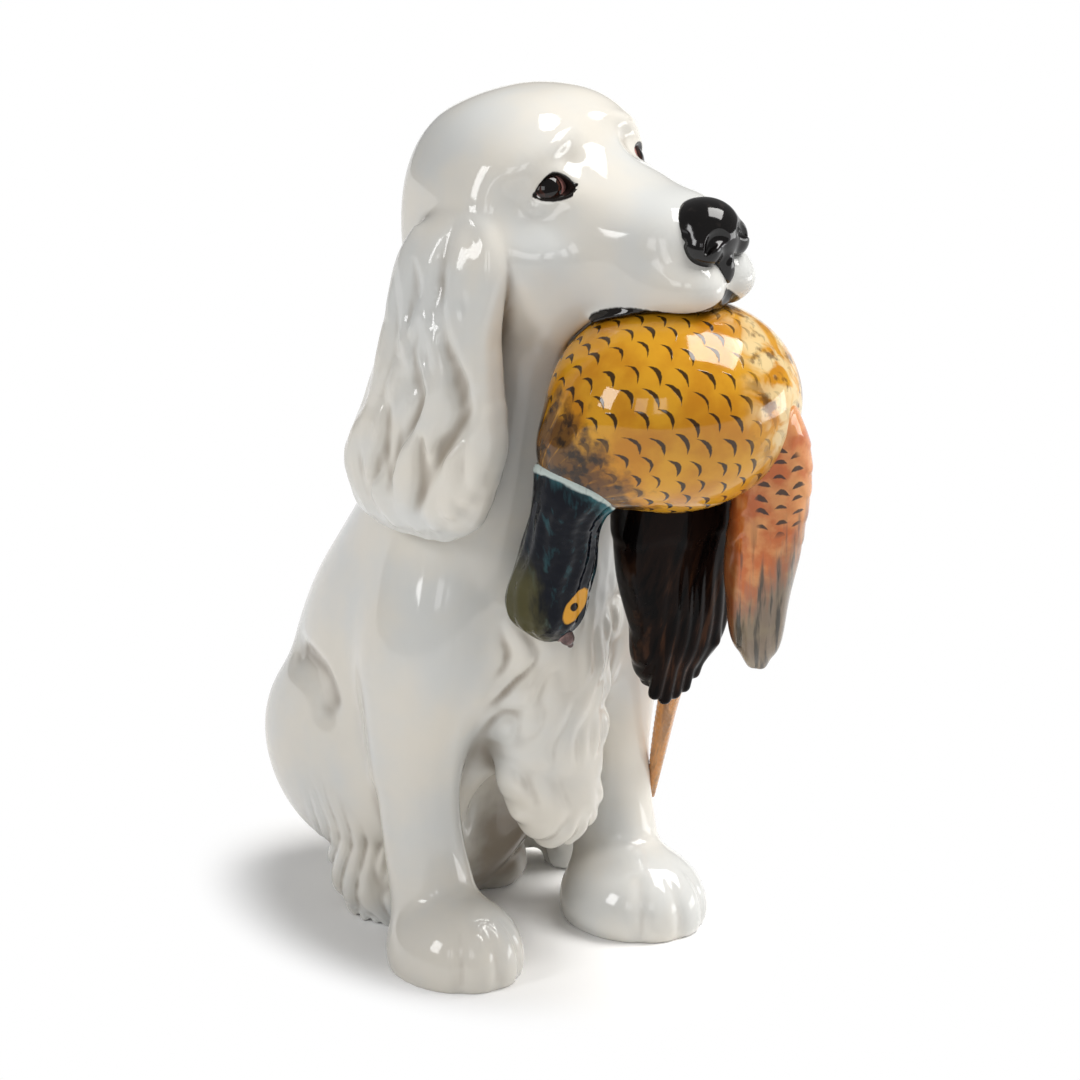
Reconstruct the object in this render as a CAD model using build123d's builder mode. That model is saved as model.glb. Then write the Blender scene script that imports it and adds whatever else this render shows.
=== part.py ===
from build123d import *
import os
from math import cos, radians, sin

# A seated spaniel with a cock pheasant in its mouth, in glazed earthenware. The figure is slip-cast
# in several small moulds, and the leather-hard castings are luted together with slip, so each seam
# is one face shared by two pieces. Millimetres, +Z up. The dog faces -Y and its left side is +X.
# The origin is under the middle of the figure, on the surface that it stands on.

# Slip casting
WALL = 5
VENT_DIAMETER = 3.5
CUT_OVERRUN = 3

# How far the line through the fore paws stands in front of the origin, and the dog's middle to the
# left of it, because the turned head widens the right side
PAW_LINE = 15
MIDLINE = 2

# Torso, one casting with the haunches
TORSO_HEIGHT = 235
TORSO_WIDTH = 101
TORSO_DEPTH = 113
HAUNCH_WIDTH = 37
HAUNCH_LENGTH = 84
HAUNCH_HEIGHT = 72
HAUNCH_SPREAD = 36
HAUNCH_BACK = 63
HAUNCH_RISE = 56

# Head, turned to the dog's left
HEAD_LENGTH = 116
HEAD_WIDTH = 84
HEAD_HEIGHT = 84
HEAD_TURN = 16
HEAD_BACK = 4
HEAD_RISE = 19
FLEW_WIDTH = 24
FLEW_HEIGHT = 28
FLEW_LENGTH = 58
NOSE_WIDTH = 26
NOSE_HEIGHT = 23
NOSE_LENGTH = 22
EYE_DIAMETER = 15

# Ears
EAR_LENGTH = 106
EAR_WIDTH = 58
EAR_THICKNESS = 26

# Forelegs, from the sole to the shoulder
LEG_LENGTH = 152
LEG_WIDTH = 42
LEG_DEPTH = 50
LEG_SPREAD = 38

# Hind legs: the foot on the ground and the feathering that falls over it
HIND_FOOT_WIDTH = 28
HIND_FOOT_LENGTH = 44
HIND_FOOT_HEIGHT = 22
HIND_FOOT_SPREAD = 16
HIND_FOOT_BACK = 56
THIGH_FUR_SPREAD = 31
THIGH_FUR_BACK = 50
THIGH_FUR_LENGTH = 70
THIGH_FUR_WIDTH = 27
THIGH_FUR_DEPTH = 34

# Chest feathering
CHEST_FUR_RISE = 36
CHEST_FUR_LENGTH = 114
CHEST_FUR_WIDTH = 48
CHEST_FUR_DEPTH = 36

# Docked tail, lying on the ground behind the rump
TAIL_LENGTH = 40
TAIL_WIDTH = 22
TAIL_HEIGHT = 16
TAIL_ROOT_BACK = 88
TAIL_RISE = 9
TAIL_TURN = 30

# Bird: a round body under the muzzle, with the neck hanging on the dog's right side
BIRD_LENGTH = 86
BIRD_DEPTH = 76
BIRD_HEIGHT = 69
BIRD_REACH = 60
BIRD_SIDE = 7
BITE_DEPTH = 2
NECK_LENGTH = 68
NECK_THICKNESS = 32
BEAK_LENGTH = 15
BEAK_THICKNESS = 8
WING_LENGTH = 102
WING_WIDTH = 26
WING_THICKNESS = 24
RUMP_LENGTH = 89
RUMP_WIDTH = 44
RUMP_THICKNESS = 32
TAIL_FEATHER_LENGTH = 82
TAIL_FEATHER_WIDTH = 18
TAIL_FEATHER_THICKNESS = 10

# Bezier handle that makes a quarter curve round
HANDLE_SHARE = 0.5523

# Up the torso: height, forward place, width and depth, as shares of the torso's own sizes
TORSO_SHARES = (
    (0.00, -0.585, 0.40, 0.39),
    (0.043, -0.575, 0.54, 0.53),
    (0.11, -0.565, 0.72, 0.69),
    (0.205, -0.558, 0.89, 0.85),
    (0.30, -0.53, 0.985, 0.94),
    (0.405, -0.45, 1.00, 1.00),
    (0.50, -0.37, 0.97, 0.955),
    (0.595, -0.285, 0.89, 0.85),
    (0.70, -0.195, 0.81, 0.745),
    (0.81, -0.125, 0.73, 0.655),
    (0.915, -0.07, 0.69, 0.62),
    (1.00, -0.045, 0.65, 0.585),
)
TORSO_CAVITY_SHARES = TORSO_SHARES[:-2]

# Along the head from the nape to the nose: place, top, underside and width
HEAD_SHARES = (
    (-0.37, 0.11, -0.17, 0.19),
    (-0.335, 0.24, -0.335, 0.48),
    (-0.24, 0.395, -0.45, 0.79),
    (-0.105, 0.47, -0.50, 0.955),
    (0.015, 0.488, -0.512, 1.00),
    (0.14, 0.44, -0.525, 0.955),
    (0.24, 0.335, -0.50, 0.81),
    (0.335, 0.245, -0.395, 0.655),
    (0.43, 0.20, -0.30, 0.57),
    (0.515, 0.173, -0.24, 0.51),
    (0.585, 0.12, -0.19, 0.43),
    (0.63, 0.05, -0.13, 0.26),
)
HEAD_CAVITY_SHARES = HEAD_SHARES[2:6]
MUZZLE_UNDERSIDE_SHARE = -0.24
FLEW_PLACE_SHARES = (0.137, -0.145, 0.414)
NOSE_PLACE_SHARES = (0.0, 0.043, 0.578)
EYE_PLACE_SHARES = (0.29, 0.21, 0.18)
EAR_ROOT_SHARES = (0.44, 0.095, 0.0)

# Down the ear: place, outward, forward, thickness and width
EAR_SHARES = (
    (0.00, 0.00, 0.00, 0.38, 0.31),
    (0.095, 0.155, -0.035, 0.62, 0.52),
    (0.285, 0.27, -0.07, 0.77, 0.69),
    (0.52, 0.345, -0.105, 0.92, 0.83),
    (0.735, 0.42, -0.155, 1.00, 1.00),
    (0.895, 0.42, -0.205, 0.92, 0.965),
    (1.00, 0.31, -0.225, 0.46, 0.55),
)

# Up the foreleg: height, inward, forward, width and depth
LEG_SHARES = (
    (0.00, 0.00, 0.06, 0.95, 0.97),
    (0.08, 0.00, 0.08, 1.00, 1.00),
    (0.17, -0.025, -0.12, 0.74, 0.70),
    (0.315, -0.05, -0.34, 0.64, 0.58),
    (0.495, -0.05, -0.36, 0.74, 0.66),
    (0.66, 0.00, -0.32, 0.88, 0.84),
    (0.84, 0.12, -0.32, 0.81, 0.80),
    (1.00, 0.24, -0.40, 0.52, 0.52),
)

# Up the thigh feathering: height, outward, forward, width and depth
THIGH_FUR_SHARES = (
    (0.00, 0.00, 0.00, 0.67, 0.71),
    (0.09, 0.04, 0.00, 0.93, 0.90),
    (0.36, 0.15, -0.06, 1.00, 1.00),
    (0.71, 0.30, -0.24, 0.90, 1.00),
    (1.00, 0.33, -0.44, 0.52, 0.64),
)
HIND_FOOT_RISE_SHARE = 0.36

# Up the chest feathering: height, sideways, forward, width and depth
CHEST_FUR_SHARES = (
    (0.00, 0.04, 0.055, 0.21, 0.33),
    (0.055, 0.04, 0.08, 0.54, 0.61),
    (0.195, 0.02, 0.055, 0.79, 0.83),
    (0.385, 0.00, 0.03, 0.92, 0.945),
    (0.605, 0.00, 0.00, 1.00, 1.00),
    (0.87, 0.00, 0.00, 0.92, 0.89),
    (1.00, 0.00, 0.00, 0.58, 0.67),
)

# Along the tail: place, width and height
TAIL_SHARES = (
    (0.00, 1.00, 1.00),
    (0.50, 0.80, 0.95),
    (0.85, 0.52, 0.66),
    (1.00, 0.18, 0.24),
)

# Places on the bird, from the middle of its body: along it, forward and up
BIRD_VENT_SHARES = (0.0, 0.0, -0.33)
NECK_ROOT_SHARES = (-0.37, -0.08, -0.20)
BEAK_PLACE_SHARES = (-0.315, -0.31, -1.105)
WING_ROOT_SHARES = (0.25, 0.31, 0.10)
RUMP_ROOT_SHARES = (0.14, -0.185, -0.34)
TAIL_FEATHER_ROOT_SHARES = (0.33, -0.37, -1.40)
TAIL_FEATHER_HEADING_SHARES = (0.24, -0.49, -0.83)

# Down the neck and head: place, along the body, forward, thickness across and thickness forward
NECK_SHARES = (
    (0.00, 0.00, 0.00, 1.00, 1.00),
    (0.15, -0.06, 0.00, 1.00, 1.00),
    (0.35, -0.03, -0.19, 0.81, 0.81),
    (0.56, 0.015, -0.44, 0.78, 0.78),
    (0.765, 0.03, -0.64, 0.845, 0.81),
    (0.91, 0.06, -0.69, 0.655, 0.655),
    (1.00, 0.095, -0.69, 0.25, 0.25),
)

# Down the wing: place, outward, forward, thickness and width
WING_SHARES = (
    (0.00, -0.18, 0.03, 0.58, 0.61),
    (0.118, 0.01, -0.01, 0.83, 0.81),
    (0.275, 0.125, -0.105, 1.00, 0.96),
    (0.47, 0.13, -0.24, 1.00, 1.00),
    (0.785, 0.245, -0.545, 0.77, 0.81),
    (0.94, 0.355, -0.66, 0.47, 0.48),
    (1.00, 0.40, -0.70, 0.18, 0.19),
)

# Down the rump and tail coverts: place, outward, forward, width and thickness
RUMP_SHARES = (
    (0.00, 0.00, 0.00, 0.91, 0.94),
    (0.175, 0.025, -0.03, 1.00, 1.00),
    (0.47, 0.09, -0.155, 0.955, 0.81),
    (0.72, 0.18, -0.265, 0.82, 0.65),
    (0.876, 0.136, -0.34, 0.59, 0.56),
    (1.00, 0.068, -0.40, 0.364, 0.44),
)

# Down the long tail feather: place, width and thickness
TAIL_FEATHER_SHARES = (
    (0.00, 1.00, 1.00),
    (0.35, 0.90, 0.90),
    (0.70, 0.58, 0.70),
    (1.00, 0.22, 0.30),
)

SIDES = {"right": -1, "left": 1}


def oval(plane, across, along, width, depth):
    """One oval section on a plane, from four round quarter curves."""
    half_width = width / 2
    half_depth = depth / 2
    corners = ((half_width, 0), (0, half_depth), (-half_width, 0), (0, -half_depth))
    with BuildSketch(plane) as section:
        with BuildLine():
            for start, end in zip(corners, corners[1:] + corners[:1]):
                leave = (start[0] + HANDLE_SHARE * end[0], start[1] + HANDLE_SHARE * end[1])
                arrive = (end[0] + HANDLE_SHARE * start[0], end[1] + HANDLE_SHARE * start[1])
                points = (start, leave, arrive, end)
                Bezier(*[(across + x, along + y) for x, y in points])
        make_face()
    return section.sketch


def stretched_ball(place, width, depth, height):
    """An ellipsoid at a place: a unit ball stretched to its sizes along the place's X, Y and Z."""
    return place * scale(Sphere(1), by=(width / 2, depth / 2, height / 2))


def beside(side, forward, height):
    """A point given by its place left of the dog's middle, ahead of the fore paws' line and up."""
    return Vector(MIDLINE + side, -(PAW_LINE + forward), height)


def torso_sections(table, inset, floor):
    """The torso's sections, drawn in by a wall and starting above a floor."""
    sections = []
    for up, forward, wide, deep in table:
        plane = Plane.XY.offset(floor + up * (TORSO_HEIGHT - floor))
        middle = beside(0, forward * TORSO_DEPTH, 0)
        width = wide * TORSO_WIDTH - 2 * inset
        depth = deep * TORSO_DEPTH - 2 * inset
        sections.append(oval(plane, middle.X, middle.Y, width, depth))
    return sections


# The head's own frame: X to its left, Y up and Z forward along the muzzle
turn = radians(HEAD_TURN)
head_plane = Plane(
    origin=beside(0, -HEAD_BACK, TORSO_HEIGHT + HEAD_RISE),
    x_dir=(cos(turn), sin(turn), 0),
    z_dir=(sin(turn), -cos(turn), 0),
)


def head_place(shares, side=1):
    """A place on the head, given in its own frame as shares of its width, height and length."""
    left, up, forward = shares
    offset = Pos(side * left * HEAD_WIDTH, up * HEAD_HEIGHT, forward * HEAD_LENGTH)
    return head_plane.location * offset


def head_sections(table, inset):
    """The head's sections, drawn in by a wall."""
    sections = []
    for along, top, bottom, wide in table:
        middle = (top + bottom) / 2 * HEAD_HEIGHT
        height = (top - bottom) * HEAD_HEIGHT - 2 * inset
        plane = head_plane.offset(along * HEAD_LENGTH)
        sections.append(oval(plane, 0, middle, wide * HEAD_WIDTH - 2 * inset, height))
    return sections


# The bird's body hangs from the muzzle's underside by the depth of the bite
bird_drop = MUZZLE_UNDERSIDE_SHARE * HEAD_HEIGHT - BIRD_HEIGHT / 2 + BITE_DEPTH
bird_middle = head_plane.from_local_coords((-BIRD_SIDE, bird_drop, BIRD_REACH))


def bird_point(shares):
    """A place on the bird, as shares of its body's length, depth and height from its middle."""
    along, forward, up = shares
    offset = Vector(along * BIRD_LENGTH, -forward * BIRD_DEPTH, up * BIRD_HEIGHT)
    return bird_middle + offset


def hanging_plane(origin):
    """A plane that faces down, with X to the dog's left and Y forward."""
    return Plane(origin=origin, x_dir=(1, 0, 0), z_dir=(0, 0, -1))


# Outer forms of the three hollow castings, which also shape the smaller pieces luted to them
haunches = []
flews = []
for side in SIDES.values():
    haunch_place = Pos(beside(side * HAUNCH_SPREAD, -HAUNCH_BACK, HAUNCH_RISE))
    haunches.append(stretched_ball(haunch_place, HAUNCH_WIDTH, HAUNCH_LENGTH, HAUNCH_HEIGHT))
    flew_place = head_place(FLEW_PLACE_SHARES, side)
    flews.append(stretched_ball(flew_place, FLEW_WIDTH, FLEW_HEIGHT, FLEW_LENGTH))

with BuildPart() as torso_form:
    loft(torso_sections(TORSO_SHARES, 0, 0))
    add(haunches)

with BuildPart() as head_form:
    loft(head_sections(HEAD_SHARES, 0))
    add(flews)

bird_form = stretched_ball(Pos(bird_middle), BIRD_LENGTH, BIRD_DEPTH, BIRD_HEIGHT)
bird_cavity = stretched_ball(
    Pos(bird_middle), BIRD_LENGTH - 2 * WALL, BIRD_DEPTH - 2 * WALL, BIRD_HEIGHT - 2 * WALL
)

# Vent from the head's hollow through the neck into the body's
neck_floor = WALL + TORSO_CAVITY_SHARES[-1][0] * (TORSO_HEIGHT - WALL) - CUT_OVERRUN
skull_floor = head_plane.origin.Z + min(row[2] for row in HEAD_SHARES) * HEAD_HEIGHT + WALL
with BuildPart() as neck_vent:
    with BuildSketch(Plane.XY.offset(neck_floor)):
        with Locations((head_plane.origin.X, head_plane.origin.Y)):
            Circle(VENT_DIAMETER / 2)
    extrude(amount=skull_floor + CUT_OVERRUN - neck_floor)

# Body: hollow up to the neck, with a shallow seat for the bird in the throat and a small vent
# through the base
base_middle = beside(0, TORSO_SHARES[0][1] * TORSO_DEPTH, 0)
with BuildPart() as body:
    add(torso_form.part)
    loft(torso_sections(TORSO_CAVITY_SHARES, WALL, WALL), mode=Mode.SUBTRACT)
    add(head_form.part, mode=Mode.SUBTRACT)
    add(bird_form, mode=Mode.SUBTRACT)
    add(neck_vent.part, mode=Mode.SUBTRACT)
    with BuildSketch(Plane.XY.offset(-CUT_OVERRUN)):
        with Locations((base_middle.X, base_middle.Y)):
            Circle(VENT_DIAMETER / 2)
    extrude(amount=WALL + 2 * CUT_OVERRUN, mode=Mode.SUBTRACT)


def eye(side):
    """One eye: a small ball set into the head."""
    with BuildPart() as eye_ball:
        with Locations(head_place(EYE_PLACE_SHARES, side)):
            Sphere(EYE_DIAMETER / 2)
    return eye_ball


eyes = {name: eye(side) for name, side in SIDES.items()}

# Head: hollow skull and solid muzzle, with sockets for the eyes and the hollow of the mouth where
# the bird sits
with BuildPart() as head:
    add(head_form.part)
    loft(head_sections(HEAD_CAVITY_SHARES, WALL), mode=Mode.SUBTRACT)
    add(bird_form, mode=Mode.SUBTRACT)
    for eye_ball in eyes.values():
        add(eye_ball.part, mode=Mode.SUBTRACT)
    add(neck_vent.part, mode=Mode.SUBTRACT)

# Nose leather, over the end of the muzzle
nose_form = stretched_ball(head_place(NOSE_PLACE_SHARES), NOSE_WIDTH, NOSE_HEIGHT, NOSE_LENGTH)
with BuildPart() as nose:
    add(nose_form)
    add(head_form.part, mode=Mode.SUBTRACT)


def ear(side):
    """One ear, hung from the side of the skull and luted down over the neck and shoulder."""
    root = head_place(EAR_ROOT_SHARES, side)
    hang = Plane(origin=root.position, x_dir=side * head_plane.x_dir, z_dir=(0, 0, -1))
    sections = []
    for along, outward, forward, thick, wide in EAR_SHARES:
        plane = hang.offset(along * EAR_LENGTH)
        across = outward * EAR_THICKNESS
        ahead = side * forward * EAR_WIDTH
        sections.append(oval(plane, across, ahead, thick * EAR_THICKNESS, wide * EAR_WIDTH))
    with BuildPart() as flap:
        loft(sections)
        add(head_form.part, mode=Mode.SUBTRACT)
        add(torso_form.part, mode=Mode.SUBTRACT)
    return flap


def foreleg(side):
    """One foreleg with its paw, flat under the sole and let into the shoulder."""
    sections = []
    for up, inward, forward, wide, deep in LEG_SHARES:
        middle = beside(side * (LEG_SPREAD - inward * LEG_WIDTH), forward * LEG_DEPTH, 0)
        plane = Plane.XY.offset(up * LEG_LENGTH)
        sections.append(oval(plane, middle.X, middle.Y, wide * LEG_WIDTH, deep * LEG_DEPTH))
    with BuildPart() as leg:
        loft(sections)
        add(torso_form.part, mode=Mode.SUBTRACT)
    return leg


ears = {name: ear(side) for name, side in SIDES.items()}
forelegs = {name: foreleg(side) for name, side in SIDES.items()}


def hind_leg(name, side):
    """One hind leg: a foot flat on the ground, and the feathering that hangs over it."""
    sections = []
    for up, outward, forward, wide, deep in THIGH_FUR_SHARES:
        spread = THIGH_FUR_SPREAD + outward * THIGH_FUR_WIDTH
        middle = beside(side * spread, forward * THIGH_FUR_DEPTH - THIGH_FUR_BACK, 0)
        plane = Plane.XY.offset(up * THIGH_FUR_LENGTH)
        width = wide * THIGH_FUR_WIDTH
        sections.append(oval(plane, middle.X, middle.Y, width, deep * THIGH_FUR_DEPTH))
    foot_rise = HIND_FOOT_RISE_SHARE * HIND_FOOT_HEIGHT
    foot_place = Pos(beside(side * HIND_FOOT_SPREAD, -HIND_FOOT_BACK, foot_rise))
    foot = stretched_ball(foot_place, HIND_FOOT_WIDTH, HIND_FOOT_LENGTH, HIND_FOOT_HEIGHT)
    with BuildPart() as leg:
        loft(sections)
        add(foot)
        split(bisect_by=Plane.XY, keep=Keep.TOP)
        add(torso_form.part, mode=Mode.SUBTRACT)
        add(forelegs[name].part, mode=Mode.SUBTRACT)
    return leg


hind_legs = {name: hind_leg(name, side) for name, side in SIDES.items()}

# Chest feathering, between the forelegs
chest_sections = []
for up, sideways, forward, wide, deep in CHEST_FUR_SHARES:
    chest_middle = beside(sideways * CHEST_FUR_WIDTH, forward * CHEST_FUR_DEPTH, 0)
    chest_plane = Plane.XY.offset(CHEST_FUR_RISE + up * CHEST_FUR_LENGTH)
    chest_oval = oval(
        chest_plane, chest_middle.X, chest_middle.Y, wide * CHEST_FUR_WIDTH, deep * CHEST_FUR_DEPTH
    )
    chest_sections.append(chest_oval)

with BuildPart() as chest_feathering:
    loft(chest_sections)
    add(torso_form.part, mode=Mode.SUBTRACT)
    for leg in forelegs.values():
        add(leg.part, mode=Mode.SUBTRACT)

# Docked tail
tail_turn = radians(TAIL_TURN)
tail_plane = Plane(
    origin=beside(0, -TAIL_ROOT_BACK, TAIL_RISE),
    x_dir=(cos(tail_turn), -sin(tail_turn), 0),
    z_dir=(sin(tail_turn), cos(tail_turn), 0),
)
tail_sections = [
    oval(tail_plane.offset(along * TAIL_LENGTH), 0, 0, wide * TAIL_WIDTH, high * TAIL_HEIGHT)
    for along, wide, high in TAIL_SHARES
]

with BuildPart() as tail:
    loft(tail_sections)
    add(torso_form.part, mode=Mode.SUBTRACT)

# Bird's body: a hollow ball in the dog's mouth, with a vent through its back below the throat
bird_vent_place = bird_point(BIRD_VENT_SHARES)
bird_vent_plane = Plane(origin=bird_vent_place, x_dir=(1, 0, 0), z_dir=(0, 1, 0))
with BuildPart() as bird_body:
    add(bird_form)
    add(bird_cavity, mode=Mode.SUBTRACT)
    with BuildSketch(bird_vent_plane):
        Circle(VENT_DIAMETER / 2)
    extrude(amount=BIRD_DEPTH / 2 + CUT_OVERRUN, mode=Mode.SUBTRACT)


def hanging_sections(root, table, length, across_size, forward_size):
    """Sections down a limb of the bird, from its root."""
    hang = hanging_plane(root)
    sections = []
    for along, across, forward, wide, deep in table:
        plane = hang.offset(along * length)
        place = (across * across_size, forward * forward_size)
        sections.append(oval(plane, *place, wide * across_size, deep * forward_size))
    return sections


# Bird's neck and head
neck_root = bird_point(NECK_ROOT_SHARES)
neck_loft = hanging_sections(neck_root, NECK_SHARES, NECK_LENGTH, NECK_THICKNESS, NECK_THICKNESS)
with BuildPart() as bird_head:
    loft(neck_loft)
    add(bird_form, mode=Mode.SUBTRACT)
    add(torso_form.part, mode=Mode.SUBTRACT)
    add(chest_feathering.part, mode=Mode.SUBTRACT)

# Bird's beak
beak_place = Pos(bird_point(BEAK_PLACE_SHARES))
beak_form = stretched_ball(beak_place, BEAK_THICKNESS, BEAK_THICKNESS, BEAK_LENGTH)
with BuildPart() as bird_beak:
    add(beak_form)
    add(bird_head.part, mode=Mode.SUBTRACT)

# Bird's folded wing, hanging from the front of its body on the dog's left side
wing_root = bird_point(WING_ROOT_SHARES)
wing_loft = hanging_sections(wing_root, WING_SHARES, WING_LENGTH, WING_THICKNESS, WING_WIDTH)
with BuildPart() as bird_wing:
    loft(wing_loft)
    add(bird_form, mode=Mode.SUBTRACT)

# Bird's rump and tail coverts
rump_root = bird_point(RUMP_ROOT_SHARES)
rump_loft = hanging_sections(rump_root, RUMP_SHARES, RUMP_LENGTH, RUMP_WIDTH, RUMP_THICKNESS)
with BuildPart() as bird_rump:
    loft(rump_loft)
    add(bird_form, mode=Mode.SUBTRACT)
    for neighbour in (torso_form, chest_feathering, bird_wing):
        add(neighbour.part, mode=Mode.SUBTRACT)

# Bird's long tail feather, which runs back past the left foreleg
feather_plane = Plane(
    origin=bird_point(TAIL_FEATHER_ROOT_SHARES),
    x_dir=(1, 0, 0),
    z_dir=(
        TAIL_FEATHER_HEADING_SHARES[0],
        -TAIL_FEATHER_HEADING_SHARES[1],
        TAIL_FEATHER_HEADING_SHARES[2],
    ),
)
feather_sections = []
for along, wide, thick in TAIL_FEATHER_SHARES:
    section_plane = feather_plane.offset(along * TAIL_FEATHER_LENGTH)
    width = wide * TAIL_FEATHER_WIDTH
    feather_sections.append(oval(section_plane, 0, 0, width, thick * TAIL_FEATHER_THICKNESS))

with BuildPart() as bird_tail:
    loft(feather_sections)
    for neighbour in (bird_rump, torso_form, chest_feathering, forelegs["left"]):
        add(neighbour.part, mode=Mode.SUBTRACT)

pieces = {
    "body": body,
    "head": head,
    "nose": nose,
    "chest_feathering": chest_feathering,
    "tail": tail,
    "bird_body": bird_body,
    "bird_head": bird_head,
    "bird_beak": bird_beak,
    "bird_wing": bird_wing,
    "bird_rump": bird_rump,
    "bird_tail": bird_tail,
}
for side in SIDES:
    pieces[f"{side}_eye"] = eyes[side]
    pieces[f"{side}_ear"] = ears[side]
    pieces[f"{side}_foreleg"] = forelegs[side]
    pieces[f"{side}_hind_leg"] = hind_legs[side]

os.makedirs("parts", exist_ok=True)
for name, piece in pieces.items():
    piece.part.label = name
    export_step(piece.part, f"parts/{name}.step")
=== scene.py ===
"""A glazed pottery spaniel that sits with a game bird in its mouth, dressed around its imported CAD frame.

The forms are built up like clay: each is a signed distance, blended into a block of voxels, and the block
is then skinned to a mesh. Lengths are in millimetres until a mesh is made, and the scene is in metres.
"""

import logging
import math
from dataclasses import dataclass, field
from enum import Enum
from typing import Callable, Optional, Sequence, Union

import bpy
import numpy as np
from mathutils import Matrix, Vector


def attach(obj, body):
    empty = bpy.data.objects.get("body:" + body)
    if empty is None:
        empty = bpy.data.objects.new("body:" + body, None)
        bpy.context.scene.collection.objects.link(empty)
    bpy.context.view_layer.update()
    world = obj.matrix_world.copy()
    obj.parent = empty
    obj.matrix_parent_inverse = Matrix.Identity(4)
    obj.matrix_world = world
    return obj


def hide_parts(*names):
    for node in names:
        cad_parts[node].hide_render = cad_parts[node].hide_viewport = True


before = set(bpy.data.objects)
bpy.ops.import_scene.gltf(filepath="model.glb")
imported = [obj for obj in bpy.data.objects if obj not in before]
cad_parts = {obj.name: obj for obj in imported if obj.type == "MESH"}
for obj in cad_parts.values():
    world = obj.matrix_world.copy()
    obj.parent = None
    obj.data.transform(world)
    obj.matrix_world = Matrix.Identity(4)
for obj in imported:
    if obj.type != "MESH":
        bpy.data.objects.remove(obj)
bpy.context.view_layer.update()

Array = np.ndarray
Vec = tuple[float, float, float]
Row = tuple[float, float, float, float, float]
Floats = tuple[float, ...]
Run = tuple[Vec, ...]
Rows = tuple[Row, ...]
Relief = Callable[[Array, Array, Array], Array]

MM = 0.001
ROOT = "root"
FAR = 1000.0
TINY = 1e-6
MARGIN = 6.0
MIDLINE = 2.0
PAW_LINE = 15.0
LEAST_SECTION = 0.3
LEAST_CORD = 0.2
LEFTWARD: Vec = (1.0, 0.0, 0.0)
DOWN: Vec = (0.0, 0.0, -1.0)

log = logging.getLogger("spaniel")


class Side(Enum):
    """The dog's own right and left."""

    RIGHT = -1
    LEFT = 1

    @property
    def prefix(self) -> str:
        """The first word of a piece's name on this side."""
        return self.name.lower()


def spot(side: float, forward: float, up: float) -> Vec:
    """Place a point by how far it is to the dog's left, ahead of the paws' line, and above the floor.

    Args:
        side: distance to the dog's left of its midline.
        forward: distance ahead of the line through the fore paws.
        up: height above the floor.

    Returns:
        The point in the frame of the CAD model, in millimetres.
    """
    return (MIDLINE + side, -(PAW_LINE + forward), up)


def unit(direction: Sequence[float]) -> Vec:
    """Return a direction with a length of one."""
    length = math.sqrt(sum(c * c for c in direction))
    return tuple(float(c / length) for c in direction)


def cross(a: Vec, b: Vec) -> Vec:
    """Return the cross product of two directions."""
    return (a[1] * b[2] - a[2] * b[1], a[2] * b[0] - a[0] * b[2], a[0] * b[1] - a[1] * b[0])


def shifted(places: Sequence[Vec], by: Vec) -> Run:
    """Return points that are all moved by the same amount."""
    return tuple(tuple(c + d for c, d in zip(place, by)) for place in places)


def step_up(low: float, high: float, value: Array) -> Array:
    """Rise smoothly from 0 to 1 as a value goes from low to high.

    Args:
        low: the value where the rise starts.
        high: the value where it ends, which may be the lower of the two.
        value: the values to look up.

    Returns:
        The share of the rise at each value.
    """
    t = np.clip((value - low) / (high - low), 0, 1)
    return t * t * (3 - 2 * t)


def soft_least(a: Array, b: Array, blend: float) -> Array:
    """Return the lesser of two distances, with a fillet where they cross.

    Args:
        a: the first distances.
        b: the second distances.
        blend: how wide the fillet is, in millimetres.

    Returns:
        The joined distances.
    """
    if blend <= 0:
        return np.minimum(a, b)
    meet = np.maximum(blend - np.abs(a - b), 0) / blend
    return np.minimum(a, b) - meet * meet * meet * (blend / 6)


def smooth_run(places: Array, values: Array, samples: int = 400) -> tuple[Array, Array]:
    """Draw a natural cubic spline through given stations.

    Args:
        places: where the stations are, rising.
        values: the value at each station.
        samples: how many points to read off the spline.

    Returns:
        The sampled places and values.
    """
    n = len(places)
    gap = np.diff(places)
    matrix, right = np.eye(n), np.zeros(n)
    for i in range(1, n - 1):
        matrix[i, i - 1:i + 2] = gap[i - 1], 2 * (gap[i - 1] + gap[i]), gap[i]
        right[i] = 6 * ((values[i + 1] - values[i]) / gap[i] - (values[i] - values[i - 1]) / gap[i - 1])
    bend = np.linalg.solve(matrix, right)
    at = np.linspace(places[0], places[-1], samples)
    i = np.clip(np.searchsorted(places, at, side="right") - 1, 0, n - 2)
    before, after, wide = places[i + 1] - at, at - places[i], gap[i]
    curve = (bend[i] * before ** 3 + bend[i + 1] * after ** 3) / (6 * wide)
    curve += (values[i] / wide - bend[i] * wide / 6) * before
    curve += (values[i + 1] / wide - bend[i + 1] * wide / 6) * after
    return at, curve


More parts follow.
